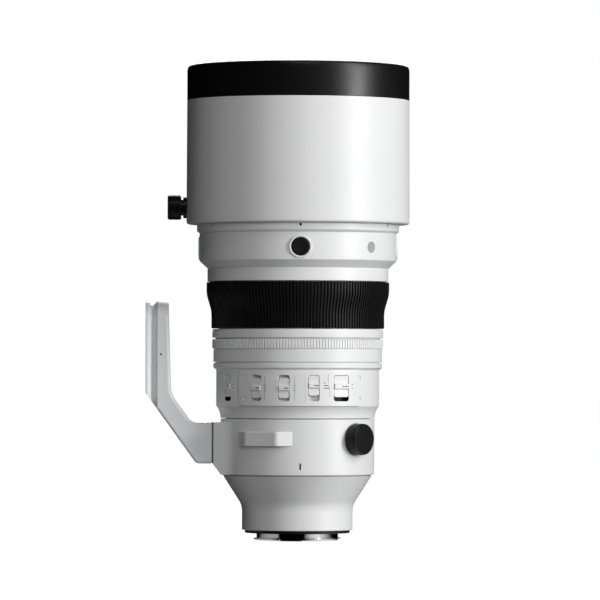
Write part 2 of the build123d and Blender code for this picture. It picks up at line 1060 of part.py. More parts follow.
iris_radius = rear_bore
iris_floor = iris_low + iris_plate
pivot_radius = iris_radius - pivot_inset
blade_inner = iris_opening + blade_edge
blade_outer = pivot_radius - pivot_pin - drive_lap
ring_low = iris_floor + blade_count * blade_pitch + blade_edge
ring_high = ring_low + drive_thickness
cover_low = ring_high + running_gap
drive_radius = iris_radius - iris_wall - running_gap
blade_azimuths = [index * 360 / blade_count for index in range(blade_count)]


def pin_track(share):
    """Where a blade's drive pin lies in the drive ring, after a share of the full turn."""
    turn = radians(blade_turn * share)
    arm_x = pivot_radius * (cos(radians(tail_angle)) - 1)
    arm_y = -pivot_radius * sin(radians(tail_angle))
    x = pivot_radius + arm_x * cos(turn) - arm_y * sin(turn)
    y = arm_x * sin(turn) + arm_y * cos(turn)
    azimuth = degrees(atan2(y, x)) - ring_turn * share
    return (hypot(x, y), azimuth)


with BuildPart() as iris_base:
    revolve(ring_face(iris_opening, iris_radius, iris_low, iris_floor), axis=Axis.Z)
    revolve(
        ring_face(iris_radius - iris_wall, iris_radius, iris_floor, cover_low), axis=Axis.Z
    )
    with BuildSketch(Plane.XY.offset(iris_low)):
        with PolarLocations(pivot_radius, blade_count):
            Circle(pivot_pin + rod_gap)
    extrude(amount=iris_plate, mode=Mode.SUBTRACT)

with BuildPart() as iris_cover:
    revolve(
        ring_face(iris_opening, iris_radius, cover_low, cover_low + iris_plate), axis=Axis.Z
    )

with BuildPart() as iris_drive_ring:
    revolve(
        ring_face(blade_outer - drive_lap, drive_radius, ring_low, ring_high), axis=Axis.Z
    )
    track = [pin_track(index / (cam_points - 1)) for index in range(cam_points)]
    for azimuth in blade_azimuths:
        with BuildSketch(Plane.XY.offset(ring_low)):
            with BuildLine() as cam:
                Spline(*[polar(radius, azimuth + angle)[:2] for radius, angle in track])
            trace(cam.line, line_width=2 * (pivot_pin + drive_slot_gap))
            for radius, angle in (track[0], track[-1]):
                with Locations(polar(radius, azimuth + angle)[:2]):
                    Circle(pivot_pin + drive_slot_gap)
        extrude(amount=drive_thickness, mode=Mode.SUBTRACT)


def make_blade(index):
    """One iris blade at its own level, with its pivot pin below and its drive pin above."""
    azimuth = blade_azimuths[index]
    level = iris_floor + blade_edge + index * blade_pitch
    with BuildPart() as blade:
        with BuildSketch(Plane.XY.offset(level)):
            SlotArc(
                CenterArc((0, 0), (blade_inner + blade_outer) / 2, azimuth, blade_sweep),
                blade_outer - blade_inner,
            )
            SlotArc(
                CenterArc((0, 0), pivot_radius, azimuth - tail_angle, tail_angle), tail_width
            )
            with Locations(polar(pivot_radius, azimuth)[:2]):
                Circle(pivot_eye)
        extrude(amount=blade_thickness)
        with BuildSketch(Plane.XY.offset(iris_low)):
            with Locations(polar(pivot_radius, azimuth)[:2]):
                Circle(pivot_pin)
        extrude(amount=level - iris_low)
        with BuildSketch(Plane.XY.offset(level + blade_thickness)):
            with Locations(polar(pivot_radius, azimuth - tail_angle)[:2]):
                Circle(pivot_pin)
        extrude(amount=ring_high - level - blade_thickness)
    return blade


blades = {f"iris_blade_{index + 1}": make_blade(index) for index in range(blade_count)}

# Hood

hood_bore = hood_top_radius - hood_wall
sleeve_bore = hood_seat_radius + running_gap
sleeve_radius = sleeve_bore + hood_sleeve_wall
sleeve_high = hood_low + hood_sleeve_length
hood_knob_z = hood_low + hood_knob_rise
lap_radius = hood_bore + rim_lap_wall
boss_face = hood_radius + hood_boss_proud
boss_seat = hood_radius - hood_boss_seat
neck_floor = boss_face - hood_neck_depth
hood_knob_base = boss_face + hood_neck_gap
hood_knob_face = hood_knob_base + hood_knob_length
hood_shoe_inner = hood_seat_radius + hood_shoe_lift
hood_shoe_outer = hood_shoe_inner + hood_shoe_thickness

with BuildPart() as hood_tube:
    revolve(
        turned(
            [
                (sleeve_bore, hood_low),
                (hood_radius - hood_edge, hood_low),
                (hood_radius, hood_low + hood_edge),
                (hood_top_radius, rim_low),
                (lap_radius, rim_low),
                (lap_radius, rim_low + rim_lap),
                (hood_bore, rim_low + rim_lap),
                (hood_bore, hood_low + hood_floor),
                (sleeve_radius, hood_low + hood_floor),
                (sleeve_radius, sleeve_high),
                (sleeve_bore, sleeve_high),
            ]
        ),
        axis=Axis.Z,
    )
    add(
        radial_disc(hood_knob_azimuth, hood_knob_z, hood_boss_radius, boss_seat, boss_face),
        mode=Mode.SUBTRACT,
    )
    add(
        radial_disc(
            hood_knob_azimuth, hood_knob_z, stem_radius + running_gap, sleeve_radius, boss_face
        ),
        mode=Mode.SUBTRACT,
    )
    add(
        radial_disc(
            hood_knob_azimuth,
            hood_knob_z,
            hood_shoe_radius + knob_gap,
            hood_seat_radius - cut_over,
            sleeve_radius + cut_over,
        ),
        mode=Mode.SUBTRACT,
    )

with BuildPart() as hood_boss:
    add(radial_disc(hood_knob_azimuth, hood_knob_z, hood_boss_radius, boss_seat, boss_face))
    add(
        radial_disc(
            hood_knob_azimuth, hood_knob_z, hood_neck_radius + running_gap, neck_floor, boss_face
        ),
        mode=Mode.SUBTRACT,
    )
    add(
        radial_disc(
            hood_knob_azimuth, hood_knob_z, stem_radius + running_gap, boss_seat, boss_face
        ),
        mode=Mode.SUBTRACT,
    )

rim_bore = hood_top_radius - rim_wall

with BuildPart() as hood_rim:
    with BuildSketch(Plane.XZ):
        with BuildLine():
            Polyline(
                (hood_bore, rim_low + rim_lap),
                (lap_radius, rim_low + rim_lap),
                (lap_radius, rim_low),
                (hood_top_radius, rim_low),
                (hood_top_radius, hood_high - rim_round),
            )
            RadiusArc(
                (hood_top_radius, hood_high - rim_round),
                (hood_top_radius - rim_round, hood_high),
                -rim_round,
            )
            Polyline(
                (hood_top_radius - rim_round, hood_high),
                (rim_bore, hood_high),
                (rim_bore, hood_high - rim_round),
                (hood_bore, hood_high - rim_round),
                (hood_bore, rim_low + rim_lap),
            )
        make_face()
    revolve(axis=Axis.Z)

lining_low = sleeve_high + running_gap
lining_high = hood_high - rim_round
ridge_pitch = (lining_high - lining_low) / lining_ridges

with BuildPart() as hood_lining:
    revolve(ring_face(hood_bore - lining_wall, hood_bore, lining_low, lining_high), axis=Axis.Z)
    for index in range(lining_ridges):
        ridge = lining_low + (index + 0.5) * ridge_pitch
        revolve(
            ring_face(
                hood_bore - lining_wall - lining_ridge,
                hood_bore,
                ridge - ridge_width / 2,
                ridge + ridge_width / 2,
            ),
            axis=Axis.Z,
        )

with BuildPart() as hood_clamp_shoe:
    add(
        radial_disc(
            hood_knob_azimuth, hood_knob_z, hood_shoe_radius, hood_shoe_inner, hood_shoe_outer
        )
    )
    add(
        radial_disc(
            hood_knob_azimuth,
            hood_knob_z,
            stud_radius,
            hood_shoe_outer,
            hood_knob_base + stud_reach,
        )
    )

with BuildPart() as hood_knob:
    add(
        radial_disc(
            hood_knob_azimuth,
            hood_knob_z,
            stem_radius,
            hood_shoe_outer + running_gap,
            boss_face,
        )
    )
    add(
        radial_disc(
            hood_knob_azimuth,
            hood_knob_z,
            hood_neck_radius,
            boss_face - hood_neck_sink,
            hood_knob_base,
        )
    )
    add(
        radial_disc(
            hood_knob_azimuth, hood_knob_z, hood_knob_radius, hood_knob_base, hood_knob_face
        )
    )
    chamfer(hood_knob.faces().sort_by(Axis.X)[0].edges(), length=edge_break)
    add(
        radial_disc(
            hood_knob_azimuth,
            hood_knob_z,
            stud_radius + rod_gap,
            hood_shoe_outer,
            hood_knob_base + stud_reach + running_gap,
        ),
        mode=Mode.SUBTRACT,
    )

# Tripod collar

spot_floor = collar_radius - collar_spot_depth
collar_knob_base = spot_floor + collar_knob_lift
collar_knob_face = collar_knob_base + collar_knob_length
collar_shoe_inner = groove_radius + 2 * running_gap
collar_shoe_outer = collar_shoe_inner + collar_shoe_thickness
seam_distance = collar_radius + boss_reach

with BuildPart() as tripod_collar:
    revolve(ring_face(0, collar_radius, collar_low, collar_high), axis=Axis.Z)
    chamfer(tripod_collar.edges().group_by(Axis.Z)[0], length=edge_break)
    with BuildSketch(Plane.XY.offset(collar_low)):
        with BuildLine():
            Polyline(
                (-seam_distance, -boss_width / 2),
                (-seam_distance, boss_width / 2),
                (-collar_radius + boss_root_reach, boss_root_width / 2),
                (-collar_radius + boss_root_reach, -boss_root_width / 2),
                close=True,
            )
        make_face()
    extrude(amount=boss_high - collar_low)
    with BuildSketch(Plane.XZ.offset(-boss_root_width)):
        with BuildLine():
            Polyline(
                (-seam_distance - cut_over, boss_low),
                (-seam_distance, boss_low),
                (-seam_distance + boss_slope_inset, boss_low - boss_slope_drop),
                (-seam_distance + boss_slope_inset, boss_low - 2 * boss_slope_drop),
                (-seam_distance - cut_over, boss_low - 2 * boss_slope_drop),
                close=True,
            )
        make_face()
    extrude(amount=2 * boss_root_width, mode=Mode.SUBTRACT)
    chamfer(tripod_collar.faces().sort_by(Axis.X)[0].edges(), length=seam_break)
    revolve(
        ring_face(0, collar_bore, collar_low - cut_over, collar_high + cut_over),
        axis=Axis.Z,
        mode=Mode.SUBTRACT,
    )
    add(
        radial_disc(
            collar_knob_azimuth,
            collar_knob_z,
            collar_knob_radius + knob_gap,
            spot_floor,
            collar_radius + cut_over,
        ),
        mode=Mode.SUBTRACT,
    )
    add(
        radial_disc(
            collar_knob_azimuth,
            collar_knob_z,
            stem_radius + running_gap,
            collar_bore - cut_over,
            collar_radius,
        ),
        mode=Mode.SUBTRACT,
    )
    with BuildSketch(Plane.YZ.offset(-seam_distance)):
        for side in (-1, 1):
            for height in foot_bolt_z:
                with Locations((side * foot_bolt_y, height)):
                    Circle(foot_bolt_radius)
    extrude(amount=foot_bolt_grip, mode=Mode.SUBTRACT)


def strap_face(azimuth):
    """Plan of one strap lug: a bar with two sloping legs that stands off the collar."""
    crown = collar_radius + strap_proud
    foot = collar_radius - strap_foot_drop
    half_flat = strap_flat / 2
    half_span = strap_span / 2
    turn = azimuth - 90
    under = crown - strap_thickness
    with BuildSketch() as face:
        with BuildLine():
            Polyline(
                (-half_span, foot),
                (-half_flat, crown),
                (half_flat, crown),
                (half_span, foot),
                (half_span - strap_leg, foot),
                (half_flat - strap_thickness / 2, under),
                (-half_flat + strap_thickness / 2, under),
                (-half_span + strap_leg, foot),
                close=True,
            )
        make_face()
        Circle(collar_radius, mode=Mode.SUBTRACT)
    return face.sketch.rotate(Axis.Z, turn).moved(Location((0, 0, strap_low)))


with BuildPart() as strap_lugs:
    for azimuth in (strap_azimuth, -strap_azimuth):
        extrude(strap_face(azimuth), amount=strap_high - strap_low)

with BuildPart() as collar_brake_shoe:
    add(
        radial_disc(
            collar_knob_azimuth,
            collar_knob_z,
            collar_shoe_radius,
            collar_shoe_inner,
            collar_shoe_outer,
        )
    )
    add(
        radial_disc(
            collar_knob_azimuth,
            collar_knob_z,
            stud_radius,
            collar_shoe_outer,
            collar_knob_base + stud_reach,
        )
    )

with BuildPart() as collar_knob:
    add(
        radial_disc(
            collar_knob_azimuth,
            collar_knob_z,
            collar_knob_radius,
            collar_knob_base,
            collar_knob_face,
        )
    )
    knob_axis = radial_plane(collar_knob_azimuth, 0, 0).z_dir
    far_face = collar_knob.faces().sort_by(Axis((0, 0, 0), knob_axis))[-1]
    chamfer(far_face.edges(), length=edge_break)
    add(
        radial_disc(
            collar_knob_azimuth,
            collar_knob_z,
            stem_radius,
            collar_shoe_outer + running_gap,
            collar_knob_base,
        )
    )
    add(
        radial_disc(
            collar_knob_azimuth,
            collar_knob_z,
            stud_radius + rod_gap,
            collar_shoe_outer,
            collar_knob_base + stud_reach + running_gap,
        ),
        mode=Mode.SUBTRACT,
    )

# Tripod foot: a dovetail plate on a slanting arm that bolts to the collar's boss

foot_bottom = -seam_distance - foot_reach
neck_x = foot_bottom + dovetail_edge + dovetail_depth
body_x = neck_x + dovetail_depth
arm_heel = (-seam_distance - foot_arm_flat, boss_low)
diagonal_top = (foot_bottom, foot_diagonal_high)
run_x = arm_heel[0] - diagonal_top[0]
run_z = arm_heel[1] - diagonal_top[1]
run = hypot(run_x, run_z)
slope_x = run_x / run
slope_z = run_z / run
inner_offset = (
    diagonal_top[0] - slope_z * foot_arm_thickness,
    diagonal_top[1] + slope_x * foot_arm_thickness,
)
root_x = foot_bottom + foot_root_depth
root_z = inner_offset[1] + (root_x - inner_offset[0]) / slope_x * slope_z
heel_x = inner_offset[0] + (boss_high - inner_offset[1]) / slope_z * slope_x
top_x = foot_bottom + foot_top_depth
body_low = diagonal_top[1] + (body_x - diagonal_top[0]) / slope_x * slope_z


def foot_plan(distance):
    """Plan of the foot seen along X, at a distance along X: rounded at its front end."""
    with BuildSketch(Plane.YZ.offset(distance)) as face:
        with Locations((0, (boss_low + foot_high) / 2)):
            plan = Rectangle(foot_width, foot_high - boss_low)
        fillet(plan.vertices().group_by(Axis.Y)[-1], radius=foot_corner)
    return face.sketch


def corner_at(sketch, point):
    """The vertex of a sketch nearest to a point."""
    return sketch.vertices().sort_by_distance((point[0], point[1], 0))[0]


def outline_edges(faces):
    """The edges round a run of faces, without those between them and those at the foot's two ends."""
    edges = [edge for face in faces for edge in face.edges()]
    return [
        edge
        for edge in edges
        if sum(edge.is_same(other) for other in edges) == 1
        and body_x + edge_break < (edge @ 0.5).X < -seam_distance - edge_break
    ]


with BuildPart() as tripod_foot:
    with BuildSketch(Plane.XZ.offset(-foot_width / 2)) as foot_side:
        with BuildLine():
            Polyline(
                (body_x, body_low),
                (body_x, foot_high),
                (top_x, foot_high),
                (root_x, root_z),
                (heel_x, boss_high),
                (-seam_distance, boss_high),
                (-seam_distance, boss_low),
                arm_heel,
                close=True,
            )
        make_face()
        fillet(corner_at(foot_side, (root_x, root_z)), radius=foot_inner_fillet)
        fillet(corner_at(foot_side, (heel_x, boss_high)), radius=foot_heel_fillet)
        fillet(corner_at(foot_side, arm_heel), radius=foot_toe_fillet)
    extrude(amount=foot_width)
    extrude(foot_plan(body_x), amount=foot_reach, mode=Mode.INTERSECT)
    inner_faces = [
        face
        for face in tripod_foot.faces()
        if face.center().X < -seam_distance - edge_break
        and (face.normal_at().X > 0.3 or abs(face.center().Z - boss_high) < edge_break)
    ]
    fillet(outline_edges(inner_faces), radius=foot_round)
    outer_faces = [
        face
        for face in tripod_foot.faces()
        if face.normal_at().Z < -0.3 and face.center().X > body_x
    ]
    fillet(outline_edges(outer_faces), radius=foot_outer_round)
    chamfer(tripod_foot.faces().sort_by(Axis.X)[-1].edges(), length=seam_break)
    extrude(foot_plan(foot_bottom), amount=dovetail_edge)
    flange_top = foot_plan(foot_bottom + dovetail_edge)
    extrude(flange_top, amount=dovetail_depth, taper=45)
    neck_face = foot_plan(body_x)
    extrude(neck_face, amount=-dovetail_depth, taper=45)
    with BuildSketch(Plane.XZ.offset(-foot_width)):
        with BuildLine():
            Polyline(
                (foot_bottom - cut_over, diagonal_top[1] - cut_over * slope_z / slope_x),
                (body_x, body_low),
                (body_x, boss_low - cut_over),
                (foot_bottom - cut_over, boss_low - cut_over),
                close=True,
            )
        make_face()
    extrude(amount=2 * foot_width, mode=Mode.SUBTRACT)
    with BuildSketch(Plane.YZ.offset(foot_bottom)):
        with Locations((0, small_socket_z)):
            Circle(small_socket_radius)
        with Locations((0, large_socket_z)):
            Circle(large_socket_radius)
    extrude(amount=socket_depth, mode=Mode.SUBTRACT)
    for side in (-1, 1):
        with BuildSketch(Plane.XZ.offset(side * foot_width / 2)):
            with Locations((foot_bottom + side_hole_x, side_hole_z)):
                Circle(side_hole_radius)
        extrude(amount=-side * side_hole_depth, mode=Mode.SUBTRACT)
    with BuildSketch(Plane.YZ.offset(-seam_distance - foot_bolt_seat)):
        for side in (-1, 1):
            for height in foot_bolt_z:
                with Locations((side * foot_bolt_y, height)):
                    Circle(foot_bolt_radius + foot_bolt_hole_gap)
    extrude(amount=foot_bolt_seat, mode=Mode.SUBTRACT)
    with BuildSketch(Plane.YZ.offset(-seam_distance - foot_bolt_seat)):
        for side in (-1, 1):
            for height in foot_bolt_z:
                with Locations((side * foot_bolt_y, height)):
                    Circle(foot_bolt_head + foot_bolt_hole_gap)
    extrude(amount=-foot_reach, mode=Mode.SUBTRACT)

with BuildPart() as foot_bolts:
    for side in (-1, 1):
        for height in foot_bolt_z:
            with BuildSketch(Plane.YZ.offset(-seam_distance - foot_bolt_seat)):
                with Locations((side * foot_bolt_y, height)):
                    Circle(foot_bolt_radius)
            extrude(amount=foot_bolt_seat + foot_bolt_grip)
            with BuildSketch(Plane.YZ.offset(-seam_distance - foot_bolt_seat)):
                with Locations((side * foot_bolt_y, height)):
                    Circle(foot_bolt_head)
                    RegularPolygon(foot_bolt_key, 6, mode=Mode.SUBTRACT)
            extrude(amount=-foot_bolt_head_length)

pieces = {
    "bayonet_mount": bayonet_mount,
    "mount_screws": mount_screws,
    "mount_seal": mount_seal,
    "rear_baffle": rear_baffle,
    "contact_pins": contact_pins,
    "rear_barrel": rear_barrel,
    "switch_barrel": switch_barrel,
    "switch_plate": switch_plate,
    "plate_screws": plate_screws,
    **sliders,
    "centre_tube": centre_tube,
    "aperture_ring": aperture_ring,
    "focus_sleeve": focus_sleeve,
    "focus_grip": focus_grip,
    "front_barrel": front_barrel,
    "badge_disc": badge_disc,
    "button_bezels": button_bezels,
    **button_parts,
    "shoulder_ring": shoulder_ring,
    "shoulder_screws": shoulder_screws,
    "front_cell": front_cell,
    "front_element": front_element,
    "inner_elements": inner_elements,
    "guide_rods": guide_rods,
    "focus_carriage": focus_carriage,
    "focus_element": focus_element,
    "stabiliser_frame": stabiliser_frame,
    "stabiliser_cell": stabiliser_cell,
    "stabiliser_element": stabiliser_element,
    "iris_base": iris_base,
    "iris_cover": iris_cover,
    "iris_drive_ring": iris_drive_ring,
    **blades,
    "hood_tube": hood_tube,
    "hood_rim": hood_rim,
    "hood_lining": hood_lining,
    "hood_boss": hood_boss,
    "hood_clamp_shoe": hood_clamp_shoe,
    "hood_knob": hood_knob,
    "tripod_collar": tripod_collar,
    "strap_lugs": strap_lugs,
    "collar_brake_shoe": collar_brake_shoe,
    "collar_knob": collar_knob,
    "tripod_foot": tripod_foot,
    "foot_bolts": foot_bolts,
}

os.makedirs("parts", exist_ok=True)
for name, piece in pieces.items():
    piece.part.label = name
    export_step(piece.part, f"parts/{name}.step")
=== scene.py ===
"""The telephoto prime lens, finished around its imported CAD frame.

Lengths in this script are millimetres until a piece is finished, which scales it to metres.
Azimuths are degrees round the optical axis: +X is 0 and the side with the switches is 270.
"""

import bmesh
import bpy
import json
from math import asin, atan2, cos, degrees, hypot, pi, radians, sin, sqrt, tau
from mathutils import Matrix, Vector

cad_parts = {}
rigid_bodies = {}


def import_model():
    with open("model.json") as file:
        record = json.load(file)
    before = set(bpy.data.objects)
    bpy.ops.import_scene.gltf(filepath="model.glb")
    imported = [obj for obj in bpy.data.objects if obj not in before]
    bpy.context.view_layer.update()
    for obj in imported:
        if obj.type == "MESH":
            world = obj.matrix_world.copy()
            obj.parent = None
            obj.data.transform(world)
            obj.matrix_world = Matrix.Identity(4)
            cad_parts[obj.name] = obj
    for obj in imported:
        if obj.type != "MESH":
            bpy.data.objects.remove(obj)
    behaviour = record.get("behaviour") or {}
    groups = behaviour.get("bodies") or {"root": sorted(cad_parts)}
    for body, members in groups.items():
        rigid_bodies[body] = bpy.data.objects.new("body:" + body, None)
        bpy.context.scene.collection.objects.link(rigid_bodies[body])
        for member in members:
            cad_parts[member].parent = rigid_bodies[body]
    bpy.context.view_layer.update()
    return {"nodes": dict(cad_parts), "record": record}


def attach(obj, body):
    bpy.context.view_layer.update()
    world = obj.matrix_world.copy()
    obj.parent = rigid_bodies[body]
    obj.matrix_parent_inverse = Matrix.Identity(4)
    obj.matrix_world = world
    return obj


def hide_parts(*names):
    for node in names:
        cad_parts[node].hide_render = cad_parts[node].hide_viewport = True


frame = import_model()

MM = 0.001
TURN_STEPS = 240  # facets round the barrel
SIDE_STEP = 1.6  # longest facet along the side of an opening
SHARP = radians(38)  # angle from which an edge is shaded sharp
WELD = 2e-3  # distance within which corners are one

# Sizes along the axis. All are the CAD source's but RIM_LOW, which follows the photo.

CASING_REAR = 1.5
REAR_STRAIGHT_HIGH = 12.0
CONE_TOP = 34.3
COLLAR_LOW, COLLAR_HIGH = 34.8, 68.4
BRAKE_LOW, BRAKE_HIGH = 51.5, 61.5
NECK_LOW = 68.9
SWITCH_LOW, SWITCH_HIGH = 76.1, 98.0
TUBE_LOW, TUBE_HIGH = 95.8, 158.5
BAND_LOW, BAND_HIGH = 99.1, 101.9
APERTURE_LOW, APERTURE_HIGH = 102.6, 116.3
GROOVE_LOW, KNURL_LOW = 110.0, 110.6
MIDDLE_LOW, MIDDLE_STEP, MIDDLE_HIGH = 117.2, 121.1, 122.4
FOCUS_LOW, FOCUS_HIGH = 122.85, 150.65
FRONT_LOW, FRONT_STEP = 151.1, 159.0
FLARE_HIGH, FRONT_HIGH = 163.6, 179.9
SHOULDER_LOW, SHOULDER_HIGH = 181.3, 185.3
FRONT_TUBE_HIGH = 203.0
HOOD_LOW, RIM_LOW, HOOD_HIGH = 185.6, 260.4, 281.6

# Sizes out from the axis. All are the CAD source's but LIP_RADIUS, the floor of the narrow
# gaps on both sides of the aperture ring, and RING_GAP, the clearance that it leaves the ring.

FLANGE_RADIUS, SEAL_RADIUS = 30.9, 31.65
REAR_RADIUS, CONE_RADIUS = 33.4, 45.0
SEAT_RADIUS, BRAKE_RADIUS, REAR_BORE = 43.0, 41.0, 40.5
COLLAR_RADIUS = 46.4
NECK_RADIUS, BARREL_RADIUS = 46.5, 49.15
BAND_RADIUS, KNURL_RADIUS = 50.9, 51.6
CENTRE_RADIUS, CENTRE_BORE, RING_BORE = 47.5, 44.0, 47.8
LIP_RADIUS, RING_GAP = 49.7, 0.15
GRIP_REAR, GRIP_FRONT, RUBBER = 52.15, 55.13, 1.9
FRONT_RING_RADIUS, FRONT_RADIUS, FRONT_BORE = 54.6, 59.46, 56.3
SHOULDER_RADIUS, HOOD_SEAT_RADIUS, FILTER_RADIUS = 61.01, 58.31, 52.0
HOOD_RADIUS, HOOD_TOP_RADIUS, HOOD_BORE = 67.38, 67.11, 63.91
SLEEVE_BORE, SLEEVE_RADIUS, SLEEVE_LOW, SLEEVE_HIGH = 58.61, 61.21, 192.0, 202.0
LAP_RADIUS, LAP_HIGH, RIM_BORE, LINING_HIGH = 65.11, 268.0, 62.71, 279.0

PLATE_AZIMUTH, PLATE_WIDTH, PLATE_TALL, PLATE_CORNER = 271.1, 72.9, 21.3, 2.8
PLATE_THICK = 0.5
SLOT_Z, SLOT_TALL, SLOT_CORNER, SLOT_FLOOR = 87.05, 15.7, 1.6, 45.2
NARROW_SLOT, WIDE_SLOT, SHORT_PAD, LONG_PAD = 7.0, 10.6, 12.0, 12.9
SLIDER_GAP, SLIDER_DEPTH = 0.3, 2.9
# Each switch: azimuth, width of its slot, length of its pad, pad's place above the slot's
# middle, and the radius of the pad's face
SWITCHES = {
    "preset": (209.75, NARROW_SLOT, LONG_PAD, 1.1, 48.9),
    "ring_mode": (238.5, NARROW_SLOT, SHORT_PAD, 0.0, 49.4),
    "stabiliser": (259.1, NARROW_SLOT, SHORT_PAD, 0.0, 49.4),
    "limiter": (279.9, NARROW_SLOT, SHORT_PAD, 1.55, 49.4),
    "focus_mode": (300.5, WIDE_SLOT, LONG_PAD, 1.1, 49.4),
}
PLATE_SCREWS = [(azimuth, height) for azimuth in (229.0, 316.4) for height in (80.75, 93.35)]
DIVIDER_AZIMUTHS = (252.9, 273.7)

BUTTON_Z, BUTTON_RADIUS, BUTTON_FACE, BEZEL_RADIUS = 171.2, 5.25, 60.11, 6.9
BUTTONS = {"left": 270, "top": 0, "right": 90, "bottom": 180}
BADGE_AZIMUTH, BADGE_RADIUS = 316.1, 3.35
HOOD_KNOB_AZIMUTH, HOOD_KNOB_Z = 180.0, 195.8
COLLAR_KNOB_AZIMUTH, COLLAR_KNOB_Z = 317.0, 56.5
STEM_RADIUS, STUD_BORE = 3.0, 1.58

# ---------------------------------------------------------------- finishes


def feed(tree, socket, value):
    """Sets a socket to a number or a direction, or links it to another node's output."""
    if isinstance(value, (int, float, Vector)):
        socket.default_value = value
    else:
        tree.links.new(value, socket)


def maths(tree, operation, *values, kind="Math"):
    """The number that a Math or VectorMath node gives."""
    node = tree.nodes.new("ShaderNode" + kind)
    node.operation = operation
    for socket, value in zip(node.inputs, values):
        feed(tree, socket, value)
    return node.outputs["Value"]


def noise(tree, vector, size, detail=2.0, rough=0.5):
    """The value of a noise pattern whose patches have that size in millimetres."""
    scale = maths(tree, "DIVIDE", 1 / MM, size)
    node = tree.nodes.new("ShaderNodeTexNoise")
    values = {"Vector": vector, "Scale": scale, "Detail": detail, "Roughness": rough}
    for label, value in values.items():
        feed(tree, node.inputs[label], value)
    return node.outputs["Fac"]


def spread(tree, value, low, high, to_low=0.0, to_high=1.0):
    """Maps a value from one range to another, held at its ends."""
    node = tree.nodes.new("ShaderNodeMapRange")
    labels = ("Value", "From Min", "From Max", "To Min", "To Max")
    for label, given in zip(labels, (value, low, high, to_low, to_high)):
        feed(tree, node.inputs[label], given)
    return node.outputs["Result"]


def effect_group(name, outputs, **numbers):
    """A node group that takes a place and numbers, with what it is given and what it gives."""
    group = bpy.data.node_groups.new(name, "ShaderNodeTree")
    group.interface.new_socket("Vector", in_out="INPUT", socket_type="NodeSocketVector")
    for label, number in numbers.items():
        made = group.interface.new_socket(label, in_out="INPUT", socket_type="NodeSocketFloat")
        made.default_value = number
    for label in outputs:
        group.interface.new_socket(label, in_out="OUTPUT", socket_type="NodeSocketFloat")
    given, gives = group.nodes.new("NodeGroupInput"), group.nodes.new("NodeGroupOutput")
    return group, given.outputs, gives.inputs


def make_sprayed_grain():
    """Fine orange peel of sprayed or moulded surfaces, with slow clouds of tone."""
    group, given, gives = effect_group("sprayed grain", ("Height", "Tone"), Grain=0.4, Clouds=30.0)
    peel = noise(group, given["Vector"], given["Grain"], 3.0, 0.6)
    clouds = noise(group, given["Vector"], given["Clouds"])
    specks = spread(group, peel, 0.35, 0.65)
    feed(group, gives["Height"], specks)
    shares = maths(group, "MULTIPLY", clouds, 0.75), maths(group, "MULTIPLY", specks, 0.25)
    feed(group, gives["Tone"], maths(group, "ADD", *shares))
    return group


def make_turned_lines():
    """Fine lines that a lathe leaves round the optical axis."""
    group, given, gives = effect_group("turned lines", ("Height", "Tone"), Pitch=0.3)
    parts = group.nodes.new("ShaderNodeSeparateXYZ")
    feed(group, parts.inputs["Vector"], given["Vector"])
    squares = [maths(group, "MULTIPLY", parts.outputs[way], parts.outputs[way]) for way in "XY"]
    across = group.nodes.new("ShaderNodeCombineXYZ")
    feed(group, across.inputs["X"], maths(group, "SQRT", maths(group, "ADD", *squares)))
    feed(group, across.inputs["Y"], parts.outputs["Z"])
    lines = noise(group, across.outputs["Vector"], given["Pitch"])
    feed(group, gives["Height"], lines)
    feed(group, gives["Tone"], spread(group, lines, 0.3, 0.7))
    return group


def make_handling():
    """Soft patches where hands and dust leave a surface slightly duller."""
    group, given, gives = effect_group("handling", ("Mask",), Size=12.0, Amount=0.5)
    patches = noise(group, given["Vector"], given["Size"], 5.0, 0.65)
    feed(group, gives["Mask"], spread(group, patches, 0.45, 0.75, 0.0, given["Amount"]))
    return group


SPRAYED_GRAIN = make_sprayed_grain()
TURNED_LINES = make_turned_lines()
HANDLING = make_handling()


class Finish:
    """A material that is being made up round one Principled shader."""

    def __init__(self, name, **plain):
        self.material = bpy.data.materials.new(name)
        self.material.use_nodes = True
        self.tree = self.material.node_tree
        self.shader = self.tree.nodes["Principled BSDF"].inputs
        self.place = self.tree.nodes.new("ShaderNodeTexCoord").outputs["Object"]
        for label, value in plain.items():
            self.shader[label.replace("_", " ")].default_value = value

    def effect(self, group, **values):
        """Adds one of the shared effects, with its own values, and gives its outputs."""
        node = self.tree.nodes.new("ShaderNodeGroup")
        node.node_tree = group
        feed(self.tree, node.inputs["Vector"], self.place)
        for label, value in values.items():
            node.inputs[label].default_value = value
        return node.outputs

    def colour(self, mask, dark, light):
        """Base colour that runs between two colours by a mask."""
        node = self.tree.nodes.new("ShaderNodeMix")
        node.data_type = "RGBA"
        feed(self.tree, node.inputs["Factor"], mask)
        node.inputs["A"].default_value = (*dark, 1)
        node.inputs["B"].default_value = (*light, 1)
        feed(self.tree, self.shader["Base Color"], node.outputs["Result"])

    def roughness(self, mask, low, high):
        """Roughness that runs between two values by a mask."""
        feed(self.tree, self.shader["Roughness"], spread(self.tree, mask, 0.0, 1.0, low, high))

    def touched(self, size, low, high):
        """Roughness that runs between two values in patches of that size."""
        self.roughness(self.effect(HANDLING, Size=size, Amount=1.0)["Mask"], low, high)

    def bump(self, height, depth):
        """A bump of that depth in millimetres."""
        node = self.tree.nodes.new("ShaderNodeBump")
        for label, value in {"Strength": 1.0, "Distance": depth * MM, "Height": height}.items():
            feed(self.tree, node.inputs[label], value)
        feed(self.tree, self.shader["Normal"], node.outputs["Normal"])


def patterned(finish, pattern, dark, light, touch, rough, depth):
    """Colour and bump from a pattern, and roughness in touched patches."""
    finish.colour(pattern["Tone"], dark, light)
    finish.touched(touch, *rough)
    finish.bump(pattern["Height"], depth)
    return finish.material


